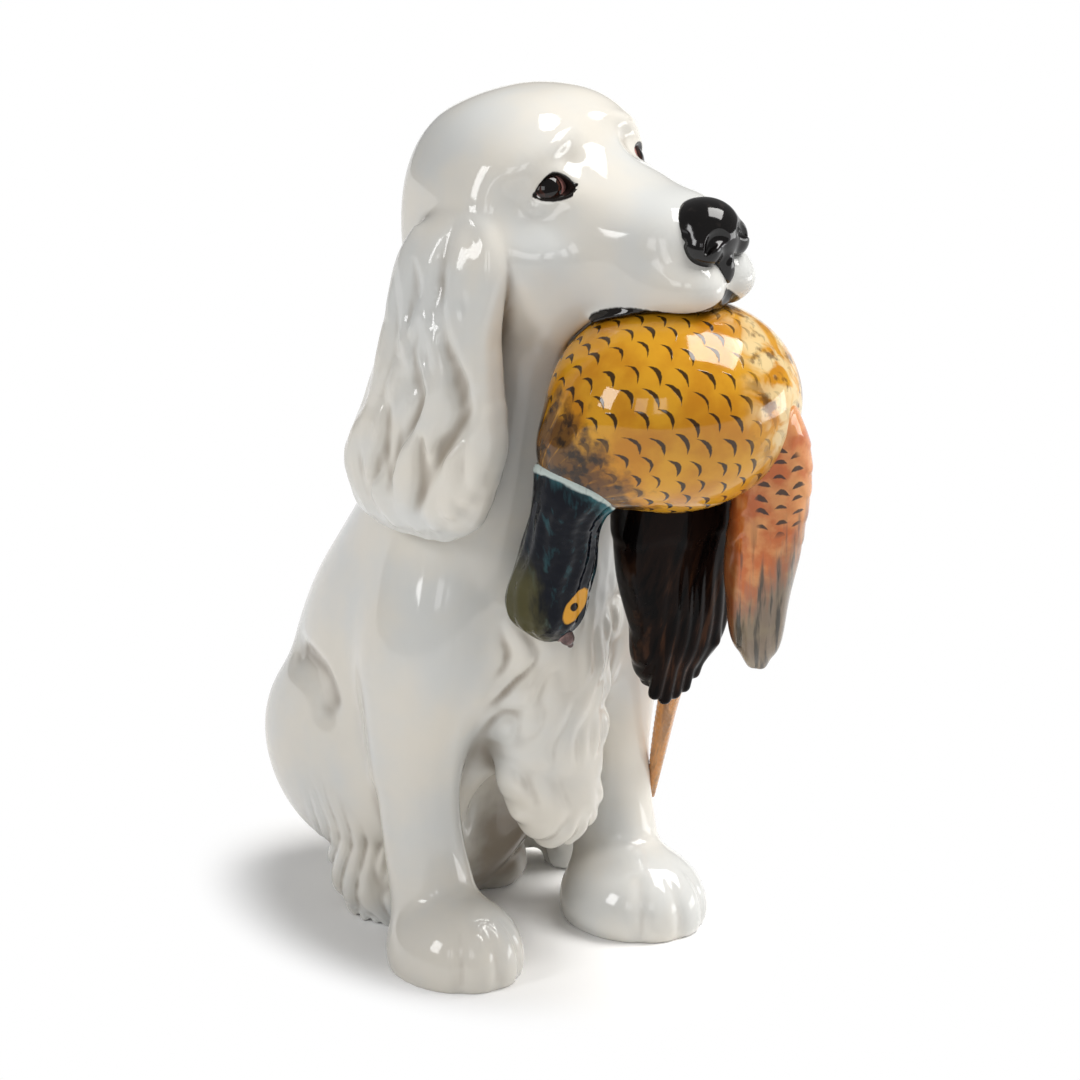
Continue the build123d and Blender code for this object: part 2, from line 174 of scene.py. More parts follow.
@dataclass(frozen=True)
class Stand:
    """A local frame for a form: its origin in millimetres and the way its three axes run."""

    origin: Vec
    u: Vec = (1.0, 0.0, 0.0)
    v: Vec = (0.0, -1.0, 0.0)
    w: Vec = (0.0, 0.0, 1.0)

    def local(self, x: Array, y: Array, z: Array) -> tuple[Array, Array, Array]:
        """Turn points of the model into this frame.

        Args:
            x: the points' X.
            y: the points' Y.
            z: the points' Z.

        Returns:
            The points' places along this frame's axes.
        """
        a, b, c = x - self.origin[0], y - self.origin[1], z - self.origin[2]
        return tuple(a * axis[0] + b * axis[1] + c * axis[2] for axis in (self.u, self.v, self.w))

    def point(self, u: float, v: float, w: float) -> Vec:
        """Return a point of this frame as a point of the model."""
        return tuple(
            float(self.origin[k] + u * self.u[k] + v * self.v[k] + w * self.w[k]) for k in range(3)
        )

    def run(self, places: Sequence[Vec], sign: int = 1) -> Run:
        """Return points of this frame as points of the model, with u turned over where sign is -1."""
        return tuple(self.point(sign * u, v, w) for u, v, w in places)

    def moved(self, u: float, v: float, w: float) -> "Stand":
        """Return the same frame with its origin at a point of its own."""
        return Stand(self.point(u, v, w), self.u, self.v, self.w)


def aimed(origin: Vec, along: Sequence[float], across: Sequence[float]) -> Stand:
    """Make a frame whose w axis runs one way and whose u axis is near another.

    Args:
        origin: the frame's origin.
        along: the way of its w axis.
        across: a way near that of its u axis.

    Returns:
        The frame.
    """
    w = unit(along)
    lean = sum(a * b for a, b in zip(across, w))
    u = unit([a - lean * b for a, b in zip(across, w)])
    return Stand(origin, u, cross(w, u), w)


class Form:
    """A solid given by the signed distance of any point from its skin."""

    def reach(self) -> tuple[Array, Array]:
        """Return the lowest and highest corner of the form."""
        raise NotImplementedError

    def distance(self, x: Array, y: Array, z: Array) -> Array:
        """Return each point's distance from the skin, less than zero inside."""
        raise NotImplementedError


@dataclass(frozen=True)
class Lump(Form):
    """An ellipsoid of clay."""

    stand: Stand
    radii: Vec

    def reach(self) -> tuple[Array, Array]:
        """Return the lowest and highest corner of the lump."""
        axes = np.array([self.stand.u, self.stand.v, self.stand.w]) * np.array(self.radii)[:, None]
        half = np.sqrt((axes ** 2).sum(0))
        return np.array(self.stand.origin) - half, np.array(self.stand.origin) + half

    def distance(self, x: Array, y: Array, z: Array) -> Array:
        """Return each point's distance from the skin, less than zero inside."""
        places = self.stand.local(x, y, z)
        near = np.sqrt(sum((c / r) ** 2 for c, r in zip(places, self.radii)))
        slope = np.sqrt(sum((c / r ** 2) ** 2 for c, r in zip(places, self.radii))) + TINY
        return near * (near - 1) / slope


Blended = tuple[Form, float]


def lump_on(stand: Stand, place: Vec, radii: Vec, sign: int = 1) -> Lump:
    """Set a lump at a place in a frame.

    Args:
        stand: the frame.
        place: the lump's middle in that frame.
        radii: the lump's radii along the frame's axes.
        sign: -1 to turn the place's u over, for the dog's right.

    Returns:
        The lump.
    """
    u, v, w = place
    return Lump(stand.moved(sign * u, v, w), radii)


@dataclass(frozen=True)
class Loft(Form):
    """A form drawn through oval sections, each a row of place, two centres and two radii.

    A power above 2 squares the sections off, and a relief raises the skin.
    """

    stand: Stand
    rows: Rows
    relief: Optional[Relief] = None
    power: float = 2.0

    def reach(self) -> tuple[Array, Array]:
        """Return the lowest and highest corner of the loft."""
        swell = 1.06
        corners = [
            self.stand.point(cu + a * ru * swell, cv + b * rv * swell, w)
            for w, cu, cv, ru, rv in self.rows
            for a in (-1, 1)
            for b in (-1, 1)
        ]
        return np.min(corners, axis=0), np.max(corners, axis=0)

    def distance(self, x: Array, y: Array, z: Array) -> Array:
        """Return each point's distance from the skin, less than zero inside."""
        u, v, w = self.stand.local(x, y, z)
        rows = np.array(self.rows)
        held = np.clip(w, rows[0, 0], rows[-1, 0])
        runs = []
        for k in range(1, 5):
            at, curve = smooth_run(rows[:, 0], rows[:, k])
            runs.append(np.interp(held, at, curve).astype(np.float32))
        u, v = u - runs[0], v - runs[1]
        ru, rv = np.maximum(runs[2], LEAST_SECTION), np.maximum(runs[3], LEAST_SECTION)
        a, b = np.abs(u) / ru, np.abs(v) / rv
        if self.power == 2.0:
            near = np.sqrt(a * a + b * b) + TINY
            slope = np.sqrt((a / ru) ** 2 + (b / rv) ** 2) / near + TINY
        else:
            near = (a ** self.power + b ** self.power) ** (1 / self.power) + TINY
            a, b = (a / near) ** (self.power - 1) / ru, (b / near) ** (self.power - 1) / rv
            slope = np.sqrt(a * a + b * b) + TINY
        gap = (near - 1) / slope
        if self.relief is not None:
            gap = gap - self.relief(u, v, w)
        past = np.maximum(rows[0, 0] - w, w - rows[-1, 0])
        beyond = np.sqrt(np.maximum(gap, 0) ** 2 + np.maximum(past, 0) ** 2)
        return np.where(past > 0, beyond, np.maximum(gap, past))


@dataclass(frozen=True)
class Stroke(Form):
    """A rounded cord of clay along a run of points, with a radius at each."""

    points: Run
    radii: Floats

    def reach(self) -> tuple[Array, Array]:
        """Return the lowest and highest corner of the stroke."""
        wide = max(self.radii)
        return np.min(self.points, axis=0) - wide, np.max(self.points, axis=0) + wide

    def distance(self, x: Array, y: Array, z: Array) -> Array:
        """Return each point's distance from the skin, less than zero inside."""
        best = None
        runs = zip(self.points, self.points[1:], self.radii, self.radii[1:])
        for start, end, first, last in runs:
            way = [b - a for a, b in zip(start, end)]
            length = sum(c * c for c in way) + TINY
            gaps = [p - s for p, s in zip((x, y, z), start)]
            t = np.clip(sum(g * c for g, c in zip(gaps, way)) / length, 0, 1)
            away = np.sqrt(sum((g - t * c) ** 2 for g, c in zip(gaps, way)))
            away = away - (first + (last - first) * t)
            best = away if best is None else np.minimum(best, away)
        return best

    def eased(self, parts: int = 3) -> "Stroke":
        """Return the stroke along a smooth curve through its points.

        Args:
            parts: how many short runs take the place of each straight one.

        Returns:
            The smoother stroke.
        """
        places = np.arange(len(self.points), dtype=float)
        count = parts * (len(places) - 1) + 1
        rows = np.array([(*point, radius) for point, radius in zip(self.points, self.radii)])
        curves = np.stack([smooth_run(places, rows[:, k], count)[1] for k in range(4)], axis=1)
        return Stroke(tuple(map(tuple, curves[:, :3])), tuple(np.maximum(curves[:, 3], LEAST_CORD)))


@dataclass(frozen=True)
class Coat:
    """Long hair in relief, combed down a form into uneven locks with sharp partings."""

    pitch: float
    length: float
    height: float
    seed: int
    sharp: float = 0.7
    waves: int = 6
    most: float = 1.6
    fine_pace: float = 3.1
    fine_share: float = 0.14

    def rise(self, across: Array, down: Array) -> Array:
        """Return how proud the hair stands at each point.

        Args:
            across: the points' places across the hair.
            down: the points' places down the hair.

        Returns:
            The height of the hair there, in millimetres.
        """
        draw = np.random.default_rng(self.seed)
        total, fine = 0.0, 0.0
        for _ in range(self.waves):
            pace, lean, start = draw.uniform(0.35, 1.0), draw.uniform(-1.0, 1.0), draw.uniform(0, 2 * np.pi)
            turn = 2 * np.pi * (pace * across / self.pitch + lean * down / self.length)
            total = total + np.sin(turn + start)
            fine = fine + np.sin(self.fine_pace * turn + 2 * start)
        locks = np.minimum(np.abs(total) / math.sqrt(self.waves), self.most)
        strands = self.fine_share * np.abs(fine) / math.sqrt(self.waves)
        return self.height * (locks ** self.sharp + strands)


@dataclass
class Skin:
    """The skin of a block of clay: its mesh, its normals, who owns each point, and how hollow it is there."""

    points: Array
    quads: Array
    normals: Array
    owners: Array
    hollow: Array
    caps: Array = field(default_factory=lambda: np.zeros((0, 3), np.int64))


class Clay:
    """A block of voxels that forms are added to and carved from."""

    BAND = 12.0
    HOLLOW_BLUR = 8
    COARSE = 4
    WIDE_BLUR = 5
    WIDE_SHARE = 0.20
    WIDE_START = 0.4
    WIDE_MOST = 5.0

    def __init__(self, low: Vec, high: Vec, step: float) -> None:
        """Set out an empty block.

        Args:
            low: the block's lowest corner.
            high: its highest corner.
            step: the size of a voxel.
        """
        self.low = np.array(low, float)
        self.step = float(step)
        self.size = np.ceil((np.array(high) - self.low) / step).astype(int) + 1
        self.axes = [(self.low[k] + step * np.arange(self.size[k])).astype(np.float32) for k in range(3)]
        self.depth = np.full(self.size, FAR, np.float32)
        self.nearest = np.full(self.size, FAR, np.float32)
        self.owner = np.zeros(self.size, np.int8)
        self.slopes: list[Array] = []

    @classmethod
    def around(cls, middle: Vec, reach: float, step: float) -> "Clay":
        """Set out an empty block that reaches as far to every side of a point."""
        return cls(tuple(c - reach for c in middle), tuple(c + reach for c in middle), step)

    def _window(self, low: Array, high: Array) -> tuple[slice, ...]:
        """Return the part of the block between two corners."""
        first = np.clip(np.floor((low - self.low) / self.step).astype(int), 0, self.size - 1)
        last = np.clip(np.ceil((high - self.low) / self.step).astype(int) + 1, 1, self.size)
        return tuple(slice(a, b) for a, b in zip(first, last))

    def _measure(self, form: Form, blend: float) -> tuple[tuple[slice, ...], Array]:
        """Measure a form over the part of the block that it can touch.

        Args:
            form: the form to measure.
            blend: how wide its fillet is.

        Returns:
            That part of the block, and the distances in it.
        """
        low, high = form.reach()
        window = self._window(low - MARGIN - blend, high + MARGIN + blend)
        points = np.meshgrid(*[self.axes[k][window[k]] for k in range(3)], indexing="ij")
        return window, form.distance(*points).astype(np.float32)

    def add(self, form: Form, blend: float = 0.0, owner: Optional[int] = None) -> None:
        """Blend a form into the block.

        Args:
            form: the form to add.
            blend: how wide the fillet around it is.
            owner: the number of the piece that the form belongs to, if it has one of its own.
        """
        window, gap = self._measure(form, blend)
        if owner is not None:
            nearer = gap < self.nearest[window]
            self.nearest[window][nearer] = gap[nearer]
            self.owner[window][nearer] = owner
        self.depth[window] = soft_least(self.depth[window], gap, blend)

    def carve(self, form: Form, blend: float) -> None:
        """Cut a form out of the block, with a rounded edge as wide as blend."""
        window, gap = self._measure(form, blend)
        self.depth[window] = -soft_least(-self.depth[window], gap, blend)

    def ruffle(self, form: Form, relief: Relief, fade: float) -> None:
        """Raise or sink the skin on and near a form.

        Args:
            form: the form.
            relief: how far the skin moves out at each point of the model.
            fade: how far from the form the relief dies away.
        """
        window, gap = self._measure(form, fade)
        points = np.meshgrid(*[self.axes[k][window[k]] for k in range(3)], indexing="ij")
        self.depth[window] -= (relief(*points) * step_up(fade, 0.0, gap)).astype(np.float32)

    def level(self) -> None:
        """Cut the block off flat at the floor."""
        np.maximum(self.depth, -self.axes[2][None, None, :], out=self.depth)

    @staticmethod
    def _blurred(block: Array, times: int) -> Array:
        """Return a block blurred along each axis, a number of times."""
        block = block.copy()
        for _ in range(times):
            for axis in range(3):
                ahead, behind = np.roll(block, -1, axis), np.roll(block, 1, axis)
                block = 0.5 * block + 0.25 * (ahead + behind)
        return block

    def soften(self, times: int) -> None:
        """Round the block's edges off, as a coat of glaze does."""
        self.depth = self._blurred(np.clip(self.depth, -self.BAND, self.BAND), times)

    def _read(self, block: Array, points: Array) -> Array:
        """Read a block between its voxels.

        Args:
            block: the block to read.
            points: where to read it, in voxels.

        Returns:
            The values there.
        """
        base = np.clip(points.astype(int), 0, np.array(block.shape) - 2)
        part = points - base
        total = np.zeros(len(points))
        for corner in np.ndindex(2, 2, 2):
            share = np.prod(np.where(corner, part, 1 - part), axis=1)
            total += share * block[tuple((base + corner).T)]
        return total

    def _uphill(self, points: Array) -> Array:
        """Return the way out of the clay at points given in voxels."""
        slopes = np.stack([self._read(slope, points) for slope in self.slopes], axis=1)
        return slopes / (np.linalg.norm(slopes, axis=1, keepdims=True) + TINY)

    def sink(self, points: Array, far: float) -> Array:
        """Move points of a skin deeper into the clay.

        Args:
            points: the points, in millimetres.
            far: how far to move them.

        Returns:
            The moved points.
        """
        return points - far * self._uphill((points - self.low) / self.step)

    def skin(self) -> Skin:
        """Wrap a mesh of quads round the block, one point in each voxel that the skin crosses."""
        depth, inside = self.depth, self.depth < 0
        counts = np.zeros(self.size - 1, np.uint8)
        for i, j, k in np.ndindex(2, 2, 2):
            nx, ny, nz = self.size - 1
            counts += inside[i:nx + i, j:ny + j, k:nz + k]
        crossed = (counts > 0) & (counts < 8)
        cells = np.argwhere(crossed)
        number = np.full(crossed.shape, -1, np.int64)
        number[crossed] = np.arange(len(cells))
        total, hits = np.zeros((len(cells), 3)), np.zeros(len(cells))
        for axis in range(3):
            others = [k for k in range(3) if k != axis]
            for a, b in np.ndindex(2, 2):
                first = np.zeros(3, int)
                first[others] = a, b
                last = first.copy()
                last[axis] = 1
                near, far = depth[tuple((cells + first).T)], depth[tuple((cells + last).T)]
                cut = (near < 0) != (far < 0)
                place = np.tile(first.astype(float), (len(cells), 1))
                place[:, axis] = np.where(cut, near / np.where(cut, near - far, 1), 0)
                total[cut] += place[cut]
                hits[cut] += 1
        grid = cells + total / hits[:, None]
        quads = [self._faces(inside, number, axis) for axis in range(3)]
        self.slopes = np.gradient(depth)
        normals = self._uphill(grid)
        # How concave the skin is, finely and broadly; the white glaze darkens with it, partly for glaze
        # pooled there and partly as painted shade.
        hollow = self._read(depth - self._blurred(depth, self.HOLLOW_BLUR), grid)
        coarse = np.clip(depth, -self.BAND, self.BAND)[::self.COARSE, ::self.COARSE, ::self.COARSE]
        wide = -self._read(self._blurred(coarse, self.WIDE_BLUR), grid / self.COARSE)
        hollow += self.WIDE_SHARE * np.clip(wide - self.WIDE_START, 0, self.WIDE_MOST)
        owners = self.owner[tuple(np.round(grid).astype(int).T)]
        return Skin(self.low + self.step * grid, np.concatenate(quads), normals, owners, hollow)

    def _faces(self, inside: Array, number: Array, axis: int) -> Array:
        """Make the quads that cross the voxels' edges along one axis.

        Args:
            inside: which voxels are in the clay.
            number: the number of the point in each cell.
            axis: the axis of the edges.

        Returns:
            The quads, as rows of four point numbers.
        """
        one, two = (axis + 1) % 3, (axis + 2) % 3
        near = np.take(inside, range(self.size[axis] - 1), axis)
        far = np.take(inside, range(1, self.size[axis]), axis)
        edges = np.argwhere(near != far)
        room = (edges[:, one] > 0) & (edges[:, two] > 0)
        room &= (edges[:, one] < self.size[one] - 1) & (edges[:, two] < self.size[two] - 1)
        edges = edges[room]
        corners = []
        for a, b in ((1, 1), (0, 1), (0, 0), (1, 0)):
            cell = edges.copy()
            cell[:, one] -= a
            cell[:, two] -= b
            corners.append(number[tuple(cell.T)])
        faces = np.stack(corners, axis=1)
        turned = ~near[tuple(edges.T)]
        faces[turned] = faces[turned][:, ::-1]
        return faces


def joined_runs(quads: Array, count: int) -> Array:
    """Number the points so that points joined by faces share the lowest number among them.

    Args:
        quads: the faces.
        count: how many points there are.

    Returns:
        A number for each point.
    """
    run = np.arange(count)
    while True:
        least = run[quads].min(axis=1)
        after = run.copy()
        np.minimum.at(after, quads.ravel(), np.repeat(least, quads.shape[1]))
        after = after[after]
        if np.array_equal(after, run):
            return run
        run = after


def settle(skin: Skin, labels: Array, count: int) -> Array:
    """Give every stray scrap of a piece to the piece around it.

    Args:
        skin: the whole skin.
        labels: the piece that each face belongs to.
        count: how many pieces there are.

    Returns:
        The labels, with one scrap for each piece.
    """
    labels = labels.copy()
    stray = np.zeros(len(labels), bool)
    for piece in range(count):
        mine = np.flatnonzero(labels == piece)
        runs = joined_runs(skin.quads[mine], len(skin.points))[skin.quads[mine, 0]]
        names, sizes = np.unique(runs, return_counts=True)
        stray[mine[runs != names[np.argmax(sizes)]]] = True
    votes = np.full(len(skin.points), -1)
    while stray.any():
        votes[:] = -1
        sound = np.flatnonzero(~stray)
        votes[skin.quads[sound].ravel()] = np.repeat(labels[sound], 4)
        lost = np.flatnonzero(stray)
        offers = votes[skin.quads[lost]].max(axis=1)
        taken = lost[offers >= 0]
        if len(taken) == 0:
            break
        labels[taken] = offers[offers >= 0]
        stray[taken] = False
    return labels


def rim_loops(quads: Array) -> list[list[int]]:
    """Walk the open edges of a run of faces.

    Args:
        quads: the faces.

    Returns:
        The loops of point numbers, each in the order of the faces beside it.
    """
    starts, ends = quads.ravel(), np.roll(quads, -1, axis=1).ravel()
    span = int(quads.max()) + 1
    forward, backward = starts * span + ends, ends * span + starts
    open_edges = np.flatnonzero(~np.isin(forward, backward))
    onward: dict[int, list[int]] = {}
    for a, b in zip(starts[open_edges].tolist(), ends[open_edges].tolist()):
        onward.setdefault(a, []).append(b)
    loops = []
    while onward:
        first = next(iter(onward))
        loop, here = [], first
        while here in onward:
            loop.append(here)
            following = onward[here].pop()
            if not onward[here]:
                del onward[here]
            here = following
        loops.append(loop)
    return loops


def cut_out(skin: Skin, labels: Array, piece: int, clay: Clay) -> Skin:
    """Take one piece out of a skin and close it inside the clay, where it meets its neighbours.

    Args:
        skin: the whole skin.
        labels: the piece that each face belongs to.
        piece: the number of the piece.
        clay: the block that the skin was made from.

    Returns:
        The piece's own closed skin.
    """
    rings, ring_depth = 3, 3.0
    used, quads = np.unique(skin.quads[labels == piece], return_inverse=True)
    quads = quads.reshape(-1, 4)
    points, normals = [skin.points[used]], [skin.normals[used]]
    walls, caps = [], []
    count = len(used)
    for loop in rim_loops(quads):
        last, spots = list(loop), points[0][loop]
        for _ in range(rings):
            spots = clay.sink(spots, ring_depth)
            ring = list(range(count, count + len(loop)))
            sides = zip(last, last[1:] + last[:1], ring, ring[1:] + ring[:1])
            walls += [(b, a, c, d) for a, b, c, d in sides]
            points.append(spots)
            normals.append(normals[0][loop])
            last, count = ring, count + len(loop)
        points.append(spots.mean(axis=0)[None])
        normals.append(normals[0][loop[:1]])
        caps += [(b, a, count) for a, b in zip(last, last[1:] + last[:1])]
        count += 1
    hollow = np.concatenate([skin.hollow[used], np.zeros(count - len(used))])
    quads = np.concatenate([quads, np.array(walls, np.int64).reshape(-1, 4)])
    caps = np.array(caps, np.int64).reshape(-1, 3)
    owners = np.full(count, piece)
    return Skin(np.concatenate(points), quads, np.concatenate(normals), owners, hollow, caps)


def make_piece(name: str, skin: Skin, marks: dict[str, Array]) -> bpy.types.Object:
    """Make a mesh object of a skin.

    Args:
        name: the piece's name, which is its CAD node's name with a word after it.
        skin: the piece's skin.
        marks: numbers at each point for the finish to read.

    Returns:
        The object.
    """
    mesh = bpy.data.meshes.new(name)
    mesh.vertices.add(len(skin.points))
    mesh.vertices.foreach_set("co", (skin.points * MM).astype(np.float32).ravel())
    corners = np.concatenate([skin.quads.ravel(), skin.caps.ravel()])
    mesh.loops.add(len(corners))
    mesh.loops.foreach_set("vertex_index", corners.astype(np.int32))
    four, three = len(skin.quads), len(skin.caps)
    starts = np.concatenate([np.arange(four) * 4, four * 4 + np.arange(three) * 3])
    mesh.polygons.add(four + three)
    mesh.polygons.foreach_set("loop_start", starts.astype(np.int32))
    mesh.polygons.foreach_set("use_smooth", np.ones(four + three, bool))
    mesh.update(calc_edges=True)
    mesh.validate()
    for label, values in {"hollow": skin.hollow, **marks}.items():
        mark = mesh.attributes.new(label, "FLOAT", "POINT")
        mark.data.foreach_set("value", np.asarray(values, np.float32))
    mesh.normals_split_custom_set_from_vertices(skin.normals.tolist())
    piece = bpy.data.objects.new(name, mesh)
    bpy.context.scene.collection.objects.link(piece)
    return piece


def fit(piece: bpy.types.Object, node: str, material: bpy.types.Material) -> None:
    """Set a piece on its CAD node with its finish, and report it.

    Args:
        piece: the piece.
        node: the CAD node that it stands for.
        material: the piece's finish.
    """
    piece.data.materials.append(material)
    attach(piece, ROOT)
    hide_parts(node)
    log.info("%s: %d points, finish %s", piece.name, len(piece.data.vertices), material.name)


Number = Union["Wire", float]


class Wire:
    """A number in a material's node tree, which plain arithmetic can work on."""

    def __init__(self, tree: bpy.types.NodeTree, socket: bpy.types.NodeSocket) -> None:
        """Hold a socket.

        Args:
            tree: the node tree.
            socket: the output socket that gives the number.
        """
        self.tree = tree
        self.socket = socket

    def math(self, operation: str, *others: Number) -> "Wire":
        """Add a Math node after this number.

        Args:
            operation: the node's operation.
            others: the node's other inputs.

        Returns:
            The result.
        """
        node = self.tree.nodes.new("ShaderNodeMath")
        node.operation = operation
        for slot, value in zip(node.inputs, (self, *others)):
            if isinstance(value, Wire):
                self.tree.links.new(value.socket, slot)
            else:
                slot.default_value = value
        return Wire(self.tree, node.outputs[0])

    def __add__(self, other: Number) -> "Wire":
        """Return the sum."""
        return self.math("ADD", other)

    def __sub__(self, other: Number) -> "Wire":
        """Return the difference."""
        return self.math("SUBTRACT", other)

    def __mul__(self, other: Number) -> "Wire":
        """Return the product."""
        return self.math("MULTIPLY", other)

    def __truediv__(self, other: Number) -> "Wire":
        """Return the quotient."""
        return self.math("DIVIDE", other)

    def __neg__(self) -> "Wire":
        """Return the number with its sign turned."""
        return self.math("MULTIPLY", -1.0)

    def __abs__(self) -> "Wire":
        """Return the number without its sign."""
        return self.math("ABSOLUTE")

    __radd__ = __add__
    __rmul__ = __mul__

    def __rsub__(self, other: float) -> "Wire":
        """Return a plain number less this one."""
        return -self + other

    def floor(self) -> "Wire":
        """Return the whole number below."""
        return self.math("FLOOR")

    def part(self) -> "Wire":
        """Return the part after the point."""
        return self.math("FRACT")

    def rise(self, low: float, high: float) -> "Wire":
        """Rise smoothly from 0 to 1 as the number goes from low to high.

        Args:
            low: the number where the rise starts.
            high: the number where it ends, which may be the lower of the two.

        Returns:
            The share of the rise.
        """
        node = self.tree.nodes.new("ShaderNodeMapRange")
        node.interpolation_type = "SMOOTHSTEP"
        self.tree.links.new(self.socket, node.inputs["Value"])
        ends = (low, high) if low < high else (high, low)
        node.inputs["From Min"].default_value, node.inputs["From Max"].default_value = ends
        share = Wire(self.tree, node.outputs["Result"])
        return share if low < high else 1.0 - share


Colour = tuple[float, float, float]


def paint(red: int, green: int, blue: int) -> Colour:
    """Turn a colour as a screen shows it, 0 to 255, into the light that it reflects."""
    parts = [c / 255 for c in (red, green, blue)]
    return tuple(p / 12.92 if p <= 0.04045 else ((p + 0.055) / 1.055) ** 2.4 for p in parts)


class Pot:
    """A pot of finish being mixed: one material, its node tree and the shader at its end."""

    def __init__(self, name: str) -> None:
        """Start a material.

        Args:
            name: the material's name.
        """
        self.material = bpy.data.materials.new(name)
        self.material.use_nodes = True
        self.tree = self.material.node_tree
        self.shader = self.tree.nodes["Principled BSDF"]
        self._place: Optional[bpy.types.NodeSocket] = None

    def _node(self, kind: str, **inputs: object) -> bpy.types.Node:
        """Add a node, with values or links for its inputs.

        Args:
            kind: the node's type.
            inputs: what goes into the sockets, by name with _ for a space.

        Returns:
            The node.
        """
        node = self.tree.nodes.new(kind)
        for key, value in inputs.items():
            slot = node.inputs[key.replace("_", " ")]
            if isinstance(value, Wire):
                self.tree.links.new(value.socket, slot)
            elif isinstance(value, bpy.types.NodeSocket):
                self.tree.links.new(value, slot)
            else:
                slot.default_value = value
        return node

    @property
    def place(self) -> bpy.types.NodeSocket:
        """The place of each point on the object, in millimetres."""
        if self._place is None:
            source = self.tree.nodes.new("ShaderNodeTexCoord")
            larger = self._node("ShaderNodeVectorMath")
            larger.operation = "SCALE"
            larger.inputs["Scale"].default_value = 1 / MM
            self.tree.links.new(source.outputs["Object"], larger.inputs[0])
            self._place = larger.outputs[0]
        return self._place

    def along(self, origin: Vec, way: Sequence[float]) -> Wire:
        """Measure how far each point is along a direction.

        Args:
            origin: where the measure starts, in millimetres.
            way: the direction, of any length; the measure is in that length.

        Returns:
            The distance along it.
        """
        away = self._node("ShaderNodeVectorMath")
        away.operation = "SUBTRACT"
        self.tree.links.new(self.place, away.inputs[0])
        away.inputs[1].default_value = origin
        dot = self._node("ShaderNodeVectorMath")
        dot.operation = "DOT_PRODUCT"
        self.tree.links.new(away.outputs[0], dot.inputs[0])
        dot.inputs[1].default_value = tuple(way)
        return Wire(self.tree, dot.outputs["Value"])

    def axes(self, stand: Stand) -> tuple[Wire, Wire, Wire]:
        """Measure each point along the three axes of a frame."""
        return tuple(self.along(stand.origin, axis) for axis in (stand.u, stand.v, stand.w))

    def mark(self, name: str) -> Wire:
        """Read a number that the mesh holds at each point."""
        node = self._node("ShaderNodeAttribute")
        node.attribute_name = name
        return Wire(self.tree, node.outputs["Fac"])

    def joined(self, x: Number, y: Number, z: Number) -> bpy.types.NodeSocket:
        """Join three numbers into a place."""
        return self._node("ShaderNodeCombineXYZ", X=x, Y=y, Z=z).outputs[0]

    def noise(self, pitch: float, detail: float = 2.0, place: Optional[bpy.types.NodeSocket] = None,
              warp: float = 0.0) -> Wire:
        """Make soft noise.

        Args:
            pitch: the size of its patches, in millimetres or in the units of place.
            detail: how much finer noise is laid over it.
            place: where to read it, if not at the point's own place.
            warp: how far it is twisted.

        Returns:
            The noise, about 0.5 in the middle.
        """
        node = self._node(
            "ShaderNodeTexNoise", Vector=place or self.place, Scale=1 / pitch, Detail=detail, Distortion=warp
        )
        return Wire(self.tree, node.outputs[0])

    def sway(self, height: float, pitch: float, detail: float = 2.0) -> Wire:
        """Make soft noise about zero, as high as given from its lowest to its highest."""
        return (self.noise(pitch, detail) - 0.5) * height

    def chance(self, x: Number, y: Number) -> tuple[Wire, Wire, Wire]:
        """Draw three even random numbers for each cell of a grid.

        Args:
            x: the cell's first number.
            y: the cell's second number.

        Returns:
            Three numbers from 0 to 1.
        """
        node = self._node("ShaderNodeTexWhiteNoise", Vector=self.joined(x, y, 0.0))
        split = self._node("ShaderNodeSeparateColor", Color=node.outputs["Color"])
        return tuple(Wire(self.tree, out) for out in split.outputs)

    def cells(self, rows: Wire, columns: Wire, loose: float) -> tuple[Wire, Wire, Wire]:
        """Measure each point from the middle of its own cell in a grid of painted marks.

        Args:
            rows: the points' places up the grid, in cells.
            columns: the points' places across it.
            loose: how far a cell's middle is moved at random, in cells.

        Returns:
            How far up and across the point is in its cell, and a random number for the cell.
        """
        shift, slide, draw = self.chance(columns.floor(), rows.floor())
        up = rows.part() - 0.5 + (shift - 0.5) * loose
        across = columns.part() - 0.5 + (slide - 0.5) * loose
        return up, across, draw

    def specks(self, pitch: float, size: float) -> Wire:
        """Scatter small round specks.

        Args:
            pitch: how far apart they are.
            size: how large they are, as a share of the pitch.

        Returns:
            1 in a speck and 0 elsewhere.
        """
        node = self._node("ShaderNodeTexVoronoi", Vector=self.place, Scale=1 / pitch)
        return Wire(self.tree, node.outputs["Distance"]).rise(size, size * 0.6)

    def mix(self, under: object, over: object, share: Wire) -> bpy.types.NodeSocket:
        """Lay one colour over another.

        Args:
            under: the colour below, or its socket.
            over: the colour on top, or its socket.
            share: how much of it covers, from 0 to 1.

        Returns:
            The mixed colour.
        """
        node = self.tree.nodes.new("ShaderNodeMix")
        node.data_type = "RGBA"
        self.tree.links.new(share.socket, node.inputs[0])
        for slot, value in ((node.inputs[6], under), (node.inputs[7], over)):
            if isinstance(value, bpy.types.NodeSocket):
                self.tree.links.new(value, slot)
            else:
                slot.default_value = (*value, 1.0)
        return node.outputs[2]

    def fire(self, colour: bpy.types.NodeSocket, rough: Wire, relief: Optional[Wire], height: float) -> None:
        """Join the mixed finish to the shader.

        Args:
            colour: its colour.
            rough: its roughness.
            relief: the fine relief of its surface, if it has any.
            height: how high that relief is, in millimetres.
        """
        self.tree.links.new(colour, self.shader.inputs["Base Color"])
        self.tree.links.new(rough.socket, self.shader.inputs["Roughness"])
        self.shader.inputs["IOR"].default_value = 1.5
        if relief is not None:
            bump = self._node("ShaderNodeBump", Height=relief, Strength=1.0, Distance=height * MM)
            self.tree.links.new(bump.outputs[0], self.shader.inputs["Normal"])


